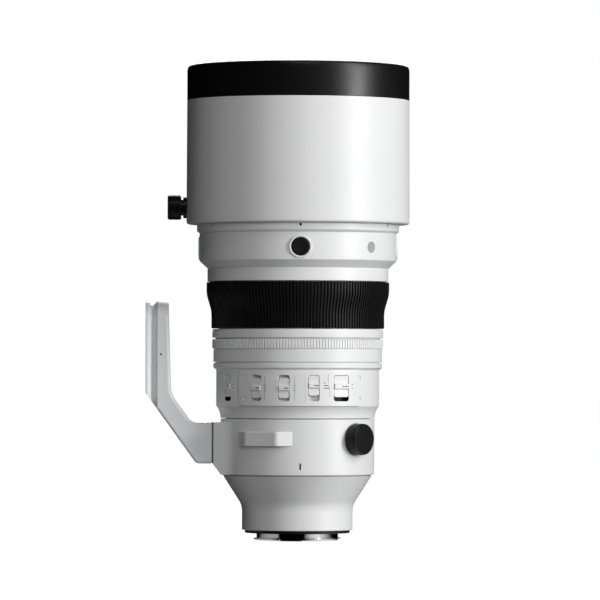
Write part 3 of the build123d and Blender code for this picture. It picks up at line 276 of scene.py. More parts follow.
def sprayed(name, dark, light, rough, grain, depth, clouds=30.0, shine=0.5):
    """Paint, plastic or rubber, patterned by the sprayed grain."""
    finish = Finish(name, Specular_IOR_Level=shine)
    spray = finish.effect(SPRAYED_GRAIN, Grain=grain, Clouds=clouds)
    return patterned(finish, spray, dark, light, 14.0, rough, depth)


def machined(name, dark, light, rough, pitch, depth, metal=1.0):
    """Turned metal, patterned by the turned lines."""
    finish = Finish(name, Metallic=metal)
    lines = finish.effect(TURNED_LINES, Pitch=pitch)
    return patterned(finish, lines, dark, light, 9.0, rough, depth)


def coated_glass():
    """Lens glass: its coating tints it green where it faces the eye and violet where it tilts."""
    finish = Finish("coated glass", Transmission_Weight=1.0, IOR=1.52)
    tilt = finish.tree.nodes.new("ShaderNodeLayerWeight")
    tilt.inputs["Blend"].default_value = 0.35
    finish.colour(tilt.outputs["Facing"], (0.88, 0.97, 0.93), (0.86, 0.82, 0.98))
    finish.touched(20.0, 0.0, 0.012)
    return finish.material


def flock():
    """Black flock inside the hood."""
    finish = Finish("flock", Sheen_Weight=0.12, Sheen_Roughness=0.5, Specular_IOR_Level=0.05)
    fibres = finish.effect(SPRAYED_GRAIN, Grain=0.28, Clouds=9.0)
    finish.colour(fibres["Tone"], (0.004, 0.004, 0.004), (0.012, 0.012, 0.0125))
    finish.roughness(fibres["Height"], 0.85, 1.0)
    finish.bump(fibres["Height"], 0.25)
    return finish.material


# Sprayed finishes: darkest and lightest colour, least and most roughness, size of the grain,
# depth of the bump, size of the clouds and shine. Machined ones: colours, roughness, pitch of
# the lines, depth of the bump and how metallic.
FINISHES = {
    "white_paint": sprayed(
        "white paint", (0.825, 0.828, 0.83), (0.86, 0.86, 0.862), (0.4, 0.5), 0.35, 0.006
    ),
    "foot_paint": sprayed(
        "foot paint", (0.82, 0.83, 0.845), (0.855, 0.862, 0.87), (0.4, 0.5), 0.4, 0.008
    ),
    "plate_paint": sprayed(
        "plate paint", (0.835, 0.838, 0.84), (0.865, 0.865, 0.866), (0.36, 0.44), 0.3, 0.004
    ),
    "slider_plastic": sprayed(
        "slider plastic", (0.83, 0.83, 0.83), (0.86, 0.86, 0.857), (0.42, 0.5), 0.25, 0.005
    ),
    "black_rubber": sprayed(
        "grip rubber", (0.004, 0.004, 0.0045), (0.009, 0.009, 0.0095), (0.5, 0.6),
        0.3, 0.008, 8.0, 0.28,
    ),
    "rim_rubber": sprayed(
        "rim rubber", (0.0035, 0.0035, 0.004), (0.006, 0.006, 0.0065), (0.36, 0.42),
        0.35, 0.004, 18.0, 0.42,
    ),
    "black_anodised": sprayed(
        "black anodising", (0.006, 0.006, 0.0065), (0.011, 0.011, 0.012), (0.28, 0.36),
        0.2, 0.006, 10.0, 0.4,
    ),
    "black_plastic": sprayed(
        "black plastic", (0.006, 0.006, 0.006), (0.012, 0.012, 0.012), (0.5, 0.6),
        0.3, 0.008, 10.0, 0.3,
    ),
    "button_plastic": sprayed(
        "button plastic", (0.008, 0.008, 0.009), (0.013, 0.013, 0.014), (0.3, 0.38),
        0.25, 0.003, 6.0, 0.4,
    ),
    "badge_plastic": sprayed(
        "badge plastic", (0.35, 0.375, 0.405), (0.42, 0.445, 0.48), (0.3, 0.4), 0.2, 0.004, 2.0
    ),
    "black_felt": flock(),
    "mount_chrome": machined(
        "mount chrome", (0.64, 0.64, 0.65), (0.74, 0.74, 0.75), (0.06, 0.13), 0.25, 0.0006
    ),
    "seal_rubber": sprayed(
        "seal rubber", (0.005, 0.005, 0.005), (0.01, 0.01, 0.01), (0.55, 0.65),
        0.3, 0.01, 8.0, 0.3,
    ),
    "inner_aluminium": machined(
        "inner aluminium", (0.05, 0.05, 0.052), (0.09, 0.09, 0.093), (0.35, 0.5), 0.35, 0.002, 0.8
    ),
    "steel": machined(
        "steel", (0.45, 0.45, 0.46), (0.6, 0.6, 0.61), (0.25, 0.4), 0.2, 0.001
    ),
    "gold_contact": machined(
        "gold contact", (0.76, 0.57, 0.24), (0.88, 0.7, 0.35), (0.18, 0.3), 0.15, 0.0006
    ),
    "blade_steel": machined(
        "blade steel", (0.025, 0.025, 0.026), (0.05, 0.05, 0.052), (0.4, 0.55), 0.3, 0.0015, 0.7
    ),
    "coated_glass": coated_glass(),
}
PRINT = sprayed(
    "dark print", (0.02, 0.02, 0.021), (0.035, 0.035, 0.036), (0.45, 0.55), 0.2, 0.001, 2.0
)

# ---------------------------------------------------------------- shaping


def verts_of(parts):
    """The vertices among some parts."""
    return [part for part in parts if isinstance(part, bmesh.types.BMVert)]


def edges_of(parts):
    """The edges among some parts."""
    return [part for part in parts if isinstance(part, bmesh.types.BMEdge)]


def move(bm, offset, verts=None):
    """Moves a bmesh, or some of its vertices."""
    bmesh.ops.translate(bm, vec=offset, verts=bm.verts[:] if verts is None else verts)


def stretch(bm, shares, verts=None):
    """Scales a bmesh, or some of its vertices, from the origin."""
    bmesh.ops.scale(bm, vec=shares, verts=bm.verts[:] if verts is None else verts)


def tip(bm, angle):
    """Turns a bmesh about the x axis."""
    turn = Matrix.Rotation(angle, 3, "X")
    bmesh.ops.rotate(bm, cent=(0, 0, 0), matrix=turn, verts=bm.verts[:])


def spin(bm, parts, angle, steps, **how):
    """Repeats or sweeps parts about the z axis."""
    bmesh.ops.spin(
        bm, geom=parts, cent=(0, 0, 0), axis=(0, 0, 1), angle=angle, steps=steps, **how
    )


def slice_at(bm, point, across, parts=None):
    """Cuts all of a bmesh, or some parts, along a plane."""
    parts = parts or bm.verts[:] + bm.edges[:] + bm.faces[:]
    bmesh.ops.bisect_plane(bm, geom=parts, dist=WELD, plane_co=point, plane_no=across)


def face_out(bm):
    """Points every face outwards."""
    bmesh.ops.recalc_face_normals(bm, faces=bm.faces[:])


def close_up(bm, gap=WELD):
    """Welds doubles and points every face outwards."""
    bmesh.ops.remove_doubles(bm, verts=bm.verts[:], dist=gap)
    face_out(bm)


def thicken(bm, thickness):
    """Gives a sheet its thickness."""
    bmesh.ops.solidify(bm, geom=bm.faces[:], thickness=thickness)
    face_out(bm)


def new_object(bm, name, material):
    """Turns a bmesh into an object of that material."""
    mesh = bpy.data.meshes.new(name)
    bm.to_mesh(mesh)
    bm.free()
    mesh.materials.append(material)
    piece = bpy.data.objects.new(name, mesh)
    bpy.context.scene.collection.objects.link(piece)
    return piece


def finish_piece(bm, name, slot, body="barrel", replaces=(), material=None, sharp=SHARP):
    """Turns a bmesh in millimetres into a finished piece in metres that rides on a body."""
    stretch(bm, (MM, MM, MM))
    piece = new_object(bm, name, material or FINISHES[slot])
    piece.data.shade_smooth()
    piece.data.set_sharp_from_angle(angle=sharp)
    weighted = piece.modifiers.new("weighted", "WEIGHTED_NORMAL")
    weighted.keep_sharp = True
    weighted.weight = 80
    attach(piece, body)
    if replaces:
        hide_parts(*replaces)
    return piece


def rounded(bm, parts, kind, offset, steps, **how):
    """Rounds vertices or edges off."""
    bmesh.ops.bevel(
        bm, geom=parts, offset=offset, offset_type="OFFSET", segments=steps, profile=0.5,
        affect=kind, material=-1, **how
    )


def round_edges(bm, edges, offset, steps=2):
    """Rounds edges off."""
    rounded(bm, edges, "EDGES", offset, steps, clamp_overlap=True)


def section(bm, outline, round_steps=3):
    """Draws a closed section of (radius, height, rounding) points and gives its parts."""
    before = set(bm.verts) | set(bm.edges)
    corners = [bm.verts.new((point[0], 0, point[1])) for point in outline]
    bm.faces.new(corners)
    by_offset = {}
    for corner, point in zip(corners, outline):
        if len(point) > 2:
            by_offset.setdefault(point[2], []).append(corner)
    for offset, members in by_offset.items():
        rounded(bm, members, "VERTICES", offset, round_steps)
    drawn = [part for part in bm.verts[:] + bm.edges[:] if part not in before]
    faces = {face for part in drawn for face in part.link_faces}
    bmesh.ops.delete(bm, geom=list(faces), context="FACES_ONLY")
    return drawn


def turned(outline, steps=TURN_STEPS, round_steps=3):
    """A ring or disc turned about the z axis from its section."""
    bm = bmesh.new()
    spin(bm, section(bm, outline, round_steps), tau, steps, use_merge=True)
    close_up(bm)
    return bm


def bend(centre, radius, start, end, steps):
    """Points of a section along an arc, by its angles in degrees from outwards to forwards."""
    angles = [radians(start + (end - start) * step / steps) for step in range(steps + 1)]
    return [(centre[0] + radius * cos(a), centre[1] + radius * sin(a)) for a in angles]


def unrolled(outline, radius, columns=TURN_STEPS):
    """A turned piece laid out flat, x round it, y forward and z out, so that it can be cut open."""
    bm = bmesh.new()
    drawn = section(bm, outline)
    flat = Matrix(((0, 1, 0, -pi * radius), (0, 0, 1, 0), (1, 0, 0, -radius), (0, 0, 0, 1)))
    bmesh.ops.transform(bm, matrix=flat, verts=bm.verts[:])
    spin(bm, drawn, 0, columns, dvec=(tau * radius / columns, 0, 0))
    return bm


def around(azimuth, middle, radius):
    """Where an azimuth falls on the flat layout."""
    return radians((azimuth - middle + 180) % 360 - 180) * radius


def cut_block(bm, low, high, level, slack):
    """Takes a block out of one wall of the layout and gives the edges left round it."""

    def reached():
        found = []
        for face in bm.faces:
            if abs(face.calc_center_median().z - level) > slack:
                continue
            xs = [vert.co.x for vert in face.verts]
            ys = [vert.co.y for vert in face.verts]
            if min(xs) < high[0] and max(xs) > low[0] and min(ys) < high[1] and max(ys) > low[1]:
                found.append(face)
        return found

    for axis, at in ((0, low[0]), (0, high[0]), (1, low[1]), (1, high[1])):
        faces = reached()
        across = Vector((0, 0, 0))
        across[axis] = 1
        near = dict.fromkeys(part for face in faces for part in (*face.verts, *face.edges))
        slice_at(bm, across * at, across, list(near) + faces)
    inside = {}
    for face in reached():
        x, y, z = face.calc_center_median()
        if low[0] < x < high[0] and low[1] < y < high[1]:
            inside[face] = True
    edges = dict.fromkeys(edge for face in inside for edge in face.edges)
    rim = [edge for edge in edges if any(face not in inside for face in edge.link_faces)]
    bmesh.ops.delete(bm, geom=list(inside), context="FACES")
    return [edge for edge in rim if edge.is_valid]


def rounded_face(bm, shape, place, steps):
    """Draws a face by its width, height and corner radius."""
    made = bmesh.ops.create_grid(bm, x_segments=1, y_segments=1, size=0.5)["verts"]
    stretch(bm, (shape[0], shape[1], 1), made)
    move(bm, place, made)
    rounded(bm, made, "VERTICES", shape[2], steps)


def draw_loop(bm, x, y, shape, level, steps=6):
    """Draws a rounded rectangle by its width, height and corner radius, or a circle by its
    width alone, and gives its edges."""
    known = set(bm.edges)

    def drawn():
        return [edge for edge in bm.edges if edge not in known]

    if not isinstance(shape, tuple):
        made = bmesh.ops.create_circle(bm, segments=steps, radius=shape / 2)["verts"]
        move(bm, (x, y, level), made)
        return drawn()
    rounded_face(bm, shape, (x, y, level), steps)
    loop = drawn()
    bmesh.ops.delete(bm, geom=list({f for e in loop for f in e.link_faces}), context="FACES_ONLY")
    sides = [edge for edge in loop if edge.calc_length() > 2]
    if sides:
        cuts = max(int(max(edge.calc_length() for edge in sides) / SIDE_STEP), 1)
        bmesh.ops.subdivide_edges(bm, edges=sides, cuts=cuts)
    return drawn()


def open_wall(bm, x, y, shape, level=0.0, margin=(0.8, 0.8), steps=6, slack=0.15):
    """Makes an opening in one wall of the layout and gives the edges of its rim."""
    width, tall = shape[:2] if isinstance(shape, tuple) else (shape, shape)
    half = (width / 2 + margin[0], tall / 2 + margin[1])
    left = cut_block(bm, (x - half[0], y - half[1]), (x + half[0], y + half[1]), level, slack)
    rim = draw_loop(bm, x, y, shape, level, steps)
    bmesh.ops.triangle_fill(bm, use_beauty=True, edges=left + rim, normal=(0, 0, 1))
    return rim


def push_loop(bm, edges, out, share=1.0):
    """Extrudes a loop of edges outwards, sizes it about its middle, and gives the new loop."""
    made = bmesh.ops.extrude_edge_only(bm, edges=edges)["geom"]
    fresh = verts_of(made)
    move(bm, (0, 0, out), fresh)
    if share != 1.0:
        middle = sum((vert.co for vert in fresh), Vector()) / len(fresh)
        there, back = Matrix.Translation(middle), Matrix.Translation(-middle)
        sized = there @ Matrix.Diagonal((share, share, 1, 1)) @ back
        bmesh.ops.transform(bm, matrix=sized, verts=fresh)
    return edges_of(made)


def sink(bm, rim, depth, edge=0.0):
    """Sinks a closed pocket from a loop of edges, with a softened edge."""
    bmesh.ops.edgeloop_fill(bm, edges=push_loop(bm, rim, -depth))
    if edge:
        round_edges(bm, rim, edge)


def wrap(bm, radius, middle, strips=()):
    """Rolls the layout up. Inside a strip, (x, y, half width, half height), walls stay square."""
    for vert in bm.verts:
        x, y, z = vert.co
        out = radius + z
        turn_to, lateral = radians(middle) + x / radius, 0.0
        for strip_x, strip_y, half_x, half_y in strips:
            if abs(x - strip_x) <= half_x and abs(y - strip_y) <= half_y:
                turn_to, lateral = radians(middle) + strip_x / radius, x - strip_x
        forward = sqrt(out * out - lateral * lateral)
        vert.co = (
            forward * cos(turn_to) - lateral * sin(turn_to),
            forward * sin(turn_to) + lateral * cos(turn_to),
            y,
        )


def aim(bm, azimuth, height, distance=0.0):
    """Moves what was built round the z axis so that z points out of the barrel there."""
    x, y = cos(radians(azimuth)), sin(radians(azimuth))
    rows = (-y, 0, x, distance * x), (x, 0, y, distance * y), (0, 1, 0, height), (0, 0, 0, 1)
    bmesh.ops.transform(bm, matrix=Matrix(rows), verts=bm.verts[:])
    return bm


def gather(parts):
    """Joins several bmeshes into one."""
    bm = bmesh.new()
    for part in parts:
        holder = bpy.data.meshes.new("holder")
        part.to_mesh(holder)
        part.free()
        bm.from_mesh(holder)
        bpy.data.meshes.remove(holder)
    return bm


def ribbed(count, across, stations):
    """A ring of ribs. Across one pitch go (share of it, depth) points, and along it go stations
    of (radius, height, share of the depth), which end where they began."""
    bm = bmesh.new()
    pitch = tau / count

    def settle(verts, station):
        radius, height, share = station
        for vert, (step, depth) in zip(verts, across):
            out = radius - depth * share
            vert.co = (out * cos(pitch * step), out * sin(pitch * step), height)

    row = [bm.verts.new() for point in across]
    edges = [bm.edges.new(pair) for pair in zip(row, row[1:])]
    settle(row, stations[0])
    for station in stations[1:]:
        made = bmesh.ops.extrude_edge_only(bm, edges=edges)["geom"]
        row = sorted(verts_of(made), key=lambda vert: atan2(vert.co.y, vert.co.x))
        edges = edges_of(made)
        settle(row, station)
    rib = bm.verts[:] + bm.edges[:] + bm.faces[:]
    spin(bm, rib, tau - pitch, count - 1, use_duplicate=True)
    close_up(bm, 1e-3)
    return bm


def rounded_block(shape, low, high, edge, steps=5, top_share=(1.0, 1.0)):
    """A block round the z axis, by its width, height and corner radius, with a softened top."""
    bm = bmesh.new()
    rounded_face(bm, shape, (0, 0, low), steps)
    top = verts_of(bmesh.ops.extrude_face_region(bm, geom=bm.faces[:])["geom"])
    move(bm, (0, 0, high - low), top)
    stretch(bm, (*top_share, 1), top)
    rim = [line for line in bm.edges if all(abs(v.co.z - high) < WELD for v in line.verts)]
    round_edges(bm, rim, edge, 3)
    close_up(bm)
    return bm


def socket_screw(radius, low, high, socket, depth):
    """A screw round the z axis with a softened head and a six-sided socket."""
    soft = 0.15
    bm = bmesh.new()
    base = draw_loop(bm, 0, 0, 2 * radius, low, 32)
    side = push_loop(bm, base, high - low - soft)
    face = push_loop(bm, side, soft, 1 - soft / radius)
    hexagon = draw_loop(bm, 0, 0, 2 * socket, high, 6)
    bmesh.ops.bridge_loops(bm, edges=face + hexagon)
    sink(bm, hexagon, depth)
    bmesh.ops.edgeloop_fill(bm, edges=base)
    close_up(bm)
    return bm


def softened(node, edge, steps=3):
    """A welded copy of a CAD node in its place, with its sharp edges rounded. Where edge is a
    function, it gives each sharp edge's rounding in millimetres."""
    source, flat, corner = frame["nodes"][node], radians(0.6), radians(28)
    bm = bmesh.new()
    bm.from_mesh(source.data)
    stretch(bm, (1 / MM, 1 / MM, 1 / MM))
    bmesh.ops.remove_doubles(bm, verts=bm.verts[:], dist=WELD)
    bmesh.ops.dissolve_limit(bm, angle_limit=flat, verts=bm.verts[:], edges=bm.edges[:])
    weight = bm.edges.layers.float.new("bevel_weight_edge") if callable(edge) else None
    sharp = [e for e in bm.edges if len(e.link_faces) == 2 and e.calc_face_angle(0) > corner]
    widest = 0.0
    if weight:
        wanted = [(line, edge(line)) for line in sharp]
        widest = max(size for line, size in wanted)
        for line, size in wanted:
            line[weight] = size / widest
    elif edge:
        round_edges(bm, sharp, edge, steps)
    piece = finish_piece(bm, node + "_finished", SLOT_OF[node], source.parent.name[5:], (node,))
    if widest:
        bevel = piece.modifiers.new("rounding", "BEVEL")
        bevel.limit_method = "WEIGHT"
        bevel.width = widest * MM
        bevel.segments = steps
        bevel.miter_outer = "MITER_ARC"
        piece.modifiers.move(1, 0)


SLOT_OF = {part["node"]: part["material_slot"] for part in frame["record"]["subparts"]}

# Every CAD node that stays gets its own finish
for node_name, node in frame["nodes"].items():
    for holder in node.material_slots:
        holder.material = FINISHES[SLOT_OF[node_name]]

# ---------------------------------------------------------------- casing


def mount_parts():
    """Rubber seal, and the bayonet, baffle and screws as the camera meets them."""
    seal_low, screw_circle = -0.3, 28.3
    dark_ring = turned([
        (FLANGE_RADIUS, seal_low, 0.25), (SEAL_RADIUS, seal_low, 0.3),
        (SEAL_RADIUS, CASING_REAR), (FLANGE_RADIUS, CASING_REAR),
    ])
    finish_piece(dark_ring, "mount_seal_ring", "seal_rubber", replaces=("mount_seal",))
    softened("bayonet_mount", 0.18)
    softened("rear_baffle", 0.15)
    screws = []
    for index in range(4):
        screw = socket_screw(1.25, -4.0, -0.25, socket=0.75, depth=0.7)
        tip(screw, pi)
        angle = radians(index * 90 - 10)
        move(screw, (screw_circle * cos(angle), screw_circle * sin(angle), 0))
        screws.append(screw)
    finish_piece(gather(screws), "mount_socket_screws", "steel", replaces=("mount_screws",))


def rear_casing():
    """Straight neck, cone, and the seat that the collar turns on."""
    wall, throat, throat_low, throat_high = 2.5, 27.0, 3.5, 20.0
    baffle_bore, baffle_high = 25.2, CONE_TOP - 0.3
    baffle_low, inside = baffle_high - 5.0, BRAKE_RADIUS - wall
    into_cone = [(33.52, 14.03), (33.88, 16.03), (34.59, 17.94), (35.604, 19.557)]
    bm = turned([
        (FLANGE_RADIUS, CASING_REAR), (REAR_RADIUS, CASING_REAR, 0.5),
        (REAR_RADIUS, REAR_STRAIGHT_HIGH), *into_cone, (CONE_RADIUS, CONE_TOP, 0.3),
        (SEAT_RADIUS, CONE_TOP), (SEAT_RADIUS, BRAKE_LOW), (BRAKE_RADIUS, BRAKE_LOW),
        (BRAKE_RADIUS, BRAKE_HIGH), (SEAT_RADIUS, BRAKE_HIGH), (SEAT_RADIUS, SWITCH_HIGH),
        (REAR_BORE, SWITCH_HIGH), (REAR_BORE, BRAKE_HIGH + wall), (inside, BRAKE_HIGH + wall),
        (inside, baffle_high), (baffle_bore, baffle_high), (baffle_bore, baffle_low),
        (REAR_RADIUS, baffle_low), (throat, throat_high), (throat, throat_low),
        (FLANGE_RADIUS, throat_low),
    ])
    finish_piece(bm, "rear_casing", "white_paint", replaces=("rear_barrel",))


def switch_casing():
    """Casing section with the five slots, and the rolled edge behind the aperture ring."""
    radius, middle = BARREL_RADIUS, PLATE_AZIMUTH
    sweep, lip_high = 11.106, APERTURE_LOW - RING_GAP
    neck = bend((NECK_RADIUS + sweep, NECK_LOW), sweep, 180, 139.6, 7)[1:-1]
    bm = unrolled([
        (SEAT_RADIUS, NECK_LOW), (NECK_RADIUS, NECK_LOW, 0.2), *neck,
        (BARREL_RADIUS, SWITCH_LOW, 0.5), (BARREL_RADIUS, SWITCH_HIGH, 0.9),
        (BAND_RADIUS, BAND_LOW, 0.3), (BAND_RADIUS, BAND_HIGH, 0.35), (LIP_RADIUS, BAND_HIGH),
        (LIP_RADIUS, lip_high), (CENTRE_RADIUS, lip_high), (CENTRE_RADIUS, TUBE_LOW),
        (SEAT_RADIUS, TUBE_LOW),
    ], radius)
    strips = []
    for name, (azimuth, width, tall, rise, face) in SWITCHES.items():
        x = around(azimuth, middle, radius)
        # Under the panel the casing's pockets are wider than the panel's slots
        spare = 0.0 if name == "preset" else 0.5
        rim = open_wall(bm, x, SLOT_Z, (width + spare, SLOT_TALL + spare, SLOT_CORNER))
        sink(bm, rim, radius - SLOT_FLOOR + 0.1, 0.0 if spare else 0.2)
        strips.append((x, SLOT_Z, width / 2 + 1.2, SLOT_TALL / 2 + 1.2))
    wrap(bm, radius, middle, strips)
    close_up(bm)
    finish_piece(bm, "switch_casing", "white_paint", replaces=("switch_barrel",))


def slot_trays():
    """Liners in the five slots, on which the switch buttons run: black under the long pads."""
    gap, rim_out, floor_out = 0.18, BARREL_RADIUS - 0.45, SLOT_FLOOR + 0.15
    trays = {"black_plastic": [], "slider_plastic": []}
    for azimuth, width, tall, rise, face in SWITCHES.values():
        bm = bmesh.new()
        shape = (width - 2 * gap, SLOT_TALL - 2 * gap, SLOT_CORNER - gap)
        sink(bm, draw_loop(bm, 0, 0, shape, rim_out), rim_out - floor_out)
        face_out(bm)
        thicken(bm, -0.14)
        slot = "black_plastic" if tall == LONG_PAD else "slider_plastic"
        trays[slot].append(aim(bm, azimuth, SLOT_Z))
    for slot, made in trays.items():
        finish_piece(gather(made), "slot_trays_" + slot.split("_")[0], slot)


def panel_rims(bm, grooves, holes):
    """The panel's outer edges by their rounding: less round the screws, none in the grooves."""
    wide, fine = 0.28, 0.1
    groove_reach, groove_half, screw_reach = 0.5, 9, 1.8
    rims = {wide: [], fine: []}
    for edge in bm.edges:
        if len(edge.link_faces) != 2 or edge.calc_face_angle(0) < radians(60):
            continue
        if any(abs(vert.co.z - PLATE_THICK) > 1e-3 for vert in edge.verts):
            continue
        x, y, z = (edge.verts[0].co + edge.verts[1].co) / 2
        if any(abs(x - at) < groove_reach for at in grooves) and abs(y - SLOT_Z) < groove_half:
            continue
        near = any(hypot(x - hole[0], y - hole[1]) < screw_reach for hole in holes)
        rims[fine if near else wide].append(edge)
    return rims


def panel():
    """Raised panel round four of the slots, with its dividing grooves and screws, and a thin black
    loop round its edge that is painted shade of the seam.
    """
    radius, middle, level = BARREL_RADIUS, PLATE_AZIMUTH, PLATE_THICK
    hole, groove, groove_depth, column, columns = 2.9, (0.5, 17.0, 0.2), 0.28, 1.2, 34
    width = 2 * radius * asin(PLATE_WIDTH / 2 / radius)
    bm = bmesh.new()
    draw_loop(bm, 0, SLOT_Z, (width, PLATE_TALL, PLATE_CORNER), level)
    strips, holes, screws, grooves = [], [], [], {}
    for name, (azimuth, slot, tall, rise, face) in SWITCHES.items():
        if name != "preset":
            x = around(azimuth, middle, radius)
            draw_loop(bm, x, SLOT_Z, (slot, SLOT_TALL, SLOT_CORNER), level)
            strips.append((x, SLOT_Z, slot / 2 + 0.6, SLOT_TALL / 2 + 0.2))
    for azimuth, height in PLATE_SCREWS:
        x = around(azimuth, middle, radius)
        draw_loop(bm, x, height, hole, level, 24)
        holes.append((x, height))
        strips.append((x, height, 1.6, 1.6))
        screw = socket_screw(1.25, 46.8, 49.4, socket=0.62, depth=0.9)
        screws.append(aim(screw, azimuth, height))
    for azimuth in DIVIDER_AZIMUTHS:
        x = around(azimuth, middle, radius)
        grooves[x] = draw_loop(bm, x, SLOT_Z - 0.35, groove, level, 2)
    bmesh.ops.triangle_fill(bm, use_beauty=True, edges=bm.edges[:], normal=(0, 0, 1))
    for rim in grooves.values():
        sink(bm, rim, groove_depth)
    face_out(bm)
    if sum(face.normal.z for face in bm.faces) < 0:
        bmesh.ops.reverse_faces(bm, faces=bm.faces[:])
    # Columns let the flat panel bend round the barrel
    for step in range(-columns, columns + 1):
        slice_at(bm, (step * column, 0, 0), (1, 0, 0))
    thicken(bm, PLATE_THICK + 0.05)
    for offset, edges in panel_rims(bm, grooves, holes).items():
        round_edges(bm, edges, offset, 3)
    wrap(bm, radius, middle, strips)
    close_up(bm)
    finish_piece(bm, "switch_panel", "plate_paint", replaces=("switch_plate",))

    # A thin black loop round the panel's edge: painted shade where the raised panel meets the
    # casing
    dark_ring, loops = bmesh.new(), []
    for more in (-0.5, 0.5):
        shape = (width + more, PLATE_TALL + more, PLATE_CORNER + more / 2)
        loops += draw_loop(dark_ring, 0, SLOT_Z, shape, 0.05)
    bmesh.ops.bridge_loops(dark_ring, edges=loops)
    face_out(dark_ring)
    bmesh.ops.solidify(dark_ring, geom=dark_ring.faces[:], thickness=0.1)
    wrap(dark_ring, radius, middle)
    close_up(dark_ring)
    finish_piece(dark_ring, "switch_panel_seal", "seal_rubber")
    finish_piece(gather(screws), "plate_socket_screws", "plate_paint", replaces=("plate_screws",))


def marks():
    """Plain printed dots and lines beside the switches, and the collar's index line."""
    top, line = BARREL_RADIUS + PLATE_THICK, 0.16

    def dash(azimuth, height, width, tall, radius=top):
        bm = rounded_block((width, tall, min(width, tall) * 0.3), -0.03, 0.012, 0.004, 2)
        return aim(bm, azimuth, height, radius)

    # Azimuth, heights from the slots' middle, width and length
    beside = [(290.1, (4.6,), line, 7.6), (291.2, (-2.0,), line, 6.4)]
    beside.append((309.6, (0, 2.2), 0.62, 0.62))
    for azimuth in (245.4, 266.5):
        beside.append((azimuth, (-1.55, 0, 1.55), 1.0, 0.5))
        beside.append((azimuth, (-4.5, 4.5), line, 4.8))
    for rise, length in ((3.1, 1.0), (1.55, 2.4), (0, 3.3)):
        beside.append((287.0 + degrees(length / 2 / top), (rise,), length, 0.45))
    prints = [dash(216.4, SLOT_Z + rise, 0.62, 0.62, BARREL_RADIUS) for rise in (0, 2.2)]
    for azimuth, heights, width, tall in beside:
        prints += [dash(azimuth, SLOT_Z + rise, width, tall) for rise in heights]
    finish_piece(gather(prints), "position_marks", "black_plastic", material=PRINT)
    index = dash(270.65, 40.35, 1.05, 3.9, COLLAR_RADIUS)
    finish_piece(index, "collar_index_mark", "black_plastic", "collar", material=PRINT)


def switch_buttons():
    """A pad in each slot with a thumb ridge and its index line."""
    dip_depth, ridge_width, ridge_rise = 0.55, 3.9, 0.85
    for name, (azimuth, slot, tall, rise, face) in SWITCHES.items():
        width, height, body = slot - 2 * SLIDER_GAP, SLOT_Z + rise, name + "_switch"
        shape = (width, tall, SLOT_CORNER - SLIDER_GAP)
        pad = rounded_block(shape, face - SLIDER_DEPTH, face, 0.28)
        slice_at(pad, (0, 0, 0), (0, 1, 0))
        dip = [vert for vert in pad.verts if abs(vert.co.y) < WELD and vert.co.z > face - 0.35]
        move(pad, (0, 0, -dip_depth), dip)
        ridge = rounded_block(
            (width, ridge_width, 0.3), face - 0.7, face + ridge_rise, 0.3, 3, (0.985, 0.66)
        )
        button = aim(gather([pad, ridge]), azimuth, height)
        finish_piece(button, body + "_button", "slider_plastic", body, (name + "_slider",))
        line = rounded_block((width * 0.46, 0.5, 0.1), face + 0.8, face + 0.862, 0.01, 2)
        move(line, (width * 0.24, 0, 0))
        aim(line, azimuth, height)
        finish_piece(line, name + "_index_line", "black_plastic", body, material=PRINT)


def aperture_ring():
    """Aperture ring: a plain band and a knurled one."""
    groove, top = BAND_RADIUS - 0.5, APERTURE_HIGH - 0.1
    core = turned([
        (RING_BORE, APERTURE_LOW), (BAND_RADIUS, APERTURE_LOW, 0.3),
        (BAND_RADIUS, GROOVE_LOW, 0.15), (groove, GROOVE_LOW), (groove, top), (RING_BORE, top),
    ])
    finish_piece(core, "aperture_ring_band", "white_paint", "aperture_control", ("aperture_ring",))
    base, soft = 50.2, 0.3
    knurl = ribbed(174, [(0, 0), (0.5, 0), (0.62, 0.85), (0.88, 0.85), (1, 0)], [
        (base, KNURL_LOW, 0), (KNURL_RADIUS - soft, KNURL_LOW, 0.3),
        (KNURL_RADIUS, KNURL_LOW + soft, 0.65), (KNURL_RADIUS, APERTURE_HIGH - soft, 0.65),
        (KNURL_RADIUS - soft, APERTURE_HIGH, 0.3), (base, APERTURE_HIGH, 0), (base, KNURL_LOW, 0),
    ])
    finish_piece(knurl, "aperture_ring_knurl", "white_paint", "aperture_control", sharp=radians(34))


def middle_ring():
    """The tube that both rings turn on, which shows between them as a plain ring."""
    step, stop, stop_low, lip_low = KNURL_RADIUS - 0.35, 41.0, 154.5, APERTURE_HIGH + RING_GAP
    tube = turned([
        (SEAT_RADIUS, TUBE_LOW), (CENTRE_RADIUS, TUBE_LOW), (CENTRE_RADIUS, lip_low),
        (LIP_RADIUS, lip_low), (LIP_RADIUS, MIDDLE_LOW), (KNURL_RADIUS, MIDDLE_LOW, 0.3),
        (KNURL_RADIUS, MIDDLE_STEP, 0.12), (step, MIDDLE_STEP + 0.1), (step, MIDDLE_HIGH, 0.3),
        (CENTRE_RADIUS, MIDDLE_HIGH), (CENTRE_RADIUS, TUBE_HIGH), (stop, TUBE_HIGH),
        (stop, stop_low), (CENTRE_BORE, stop_low), (CENTRE_BORE, SWITCH_HIGH),
        (SEAT_RADIUS, SWITCH_HIGH),
    ])
    finish_piece(tube, "middle_ring_tube", "white_paint", replaces=("centre_tube",))


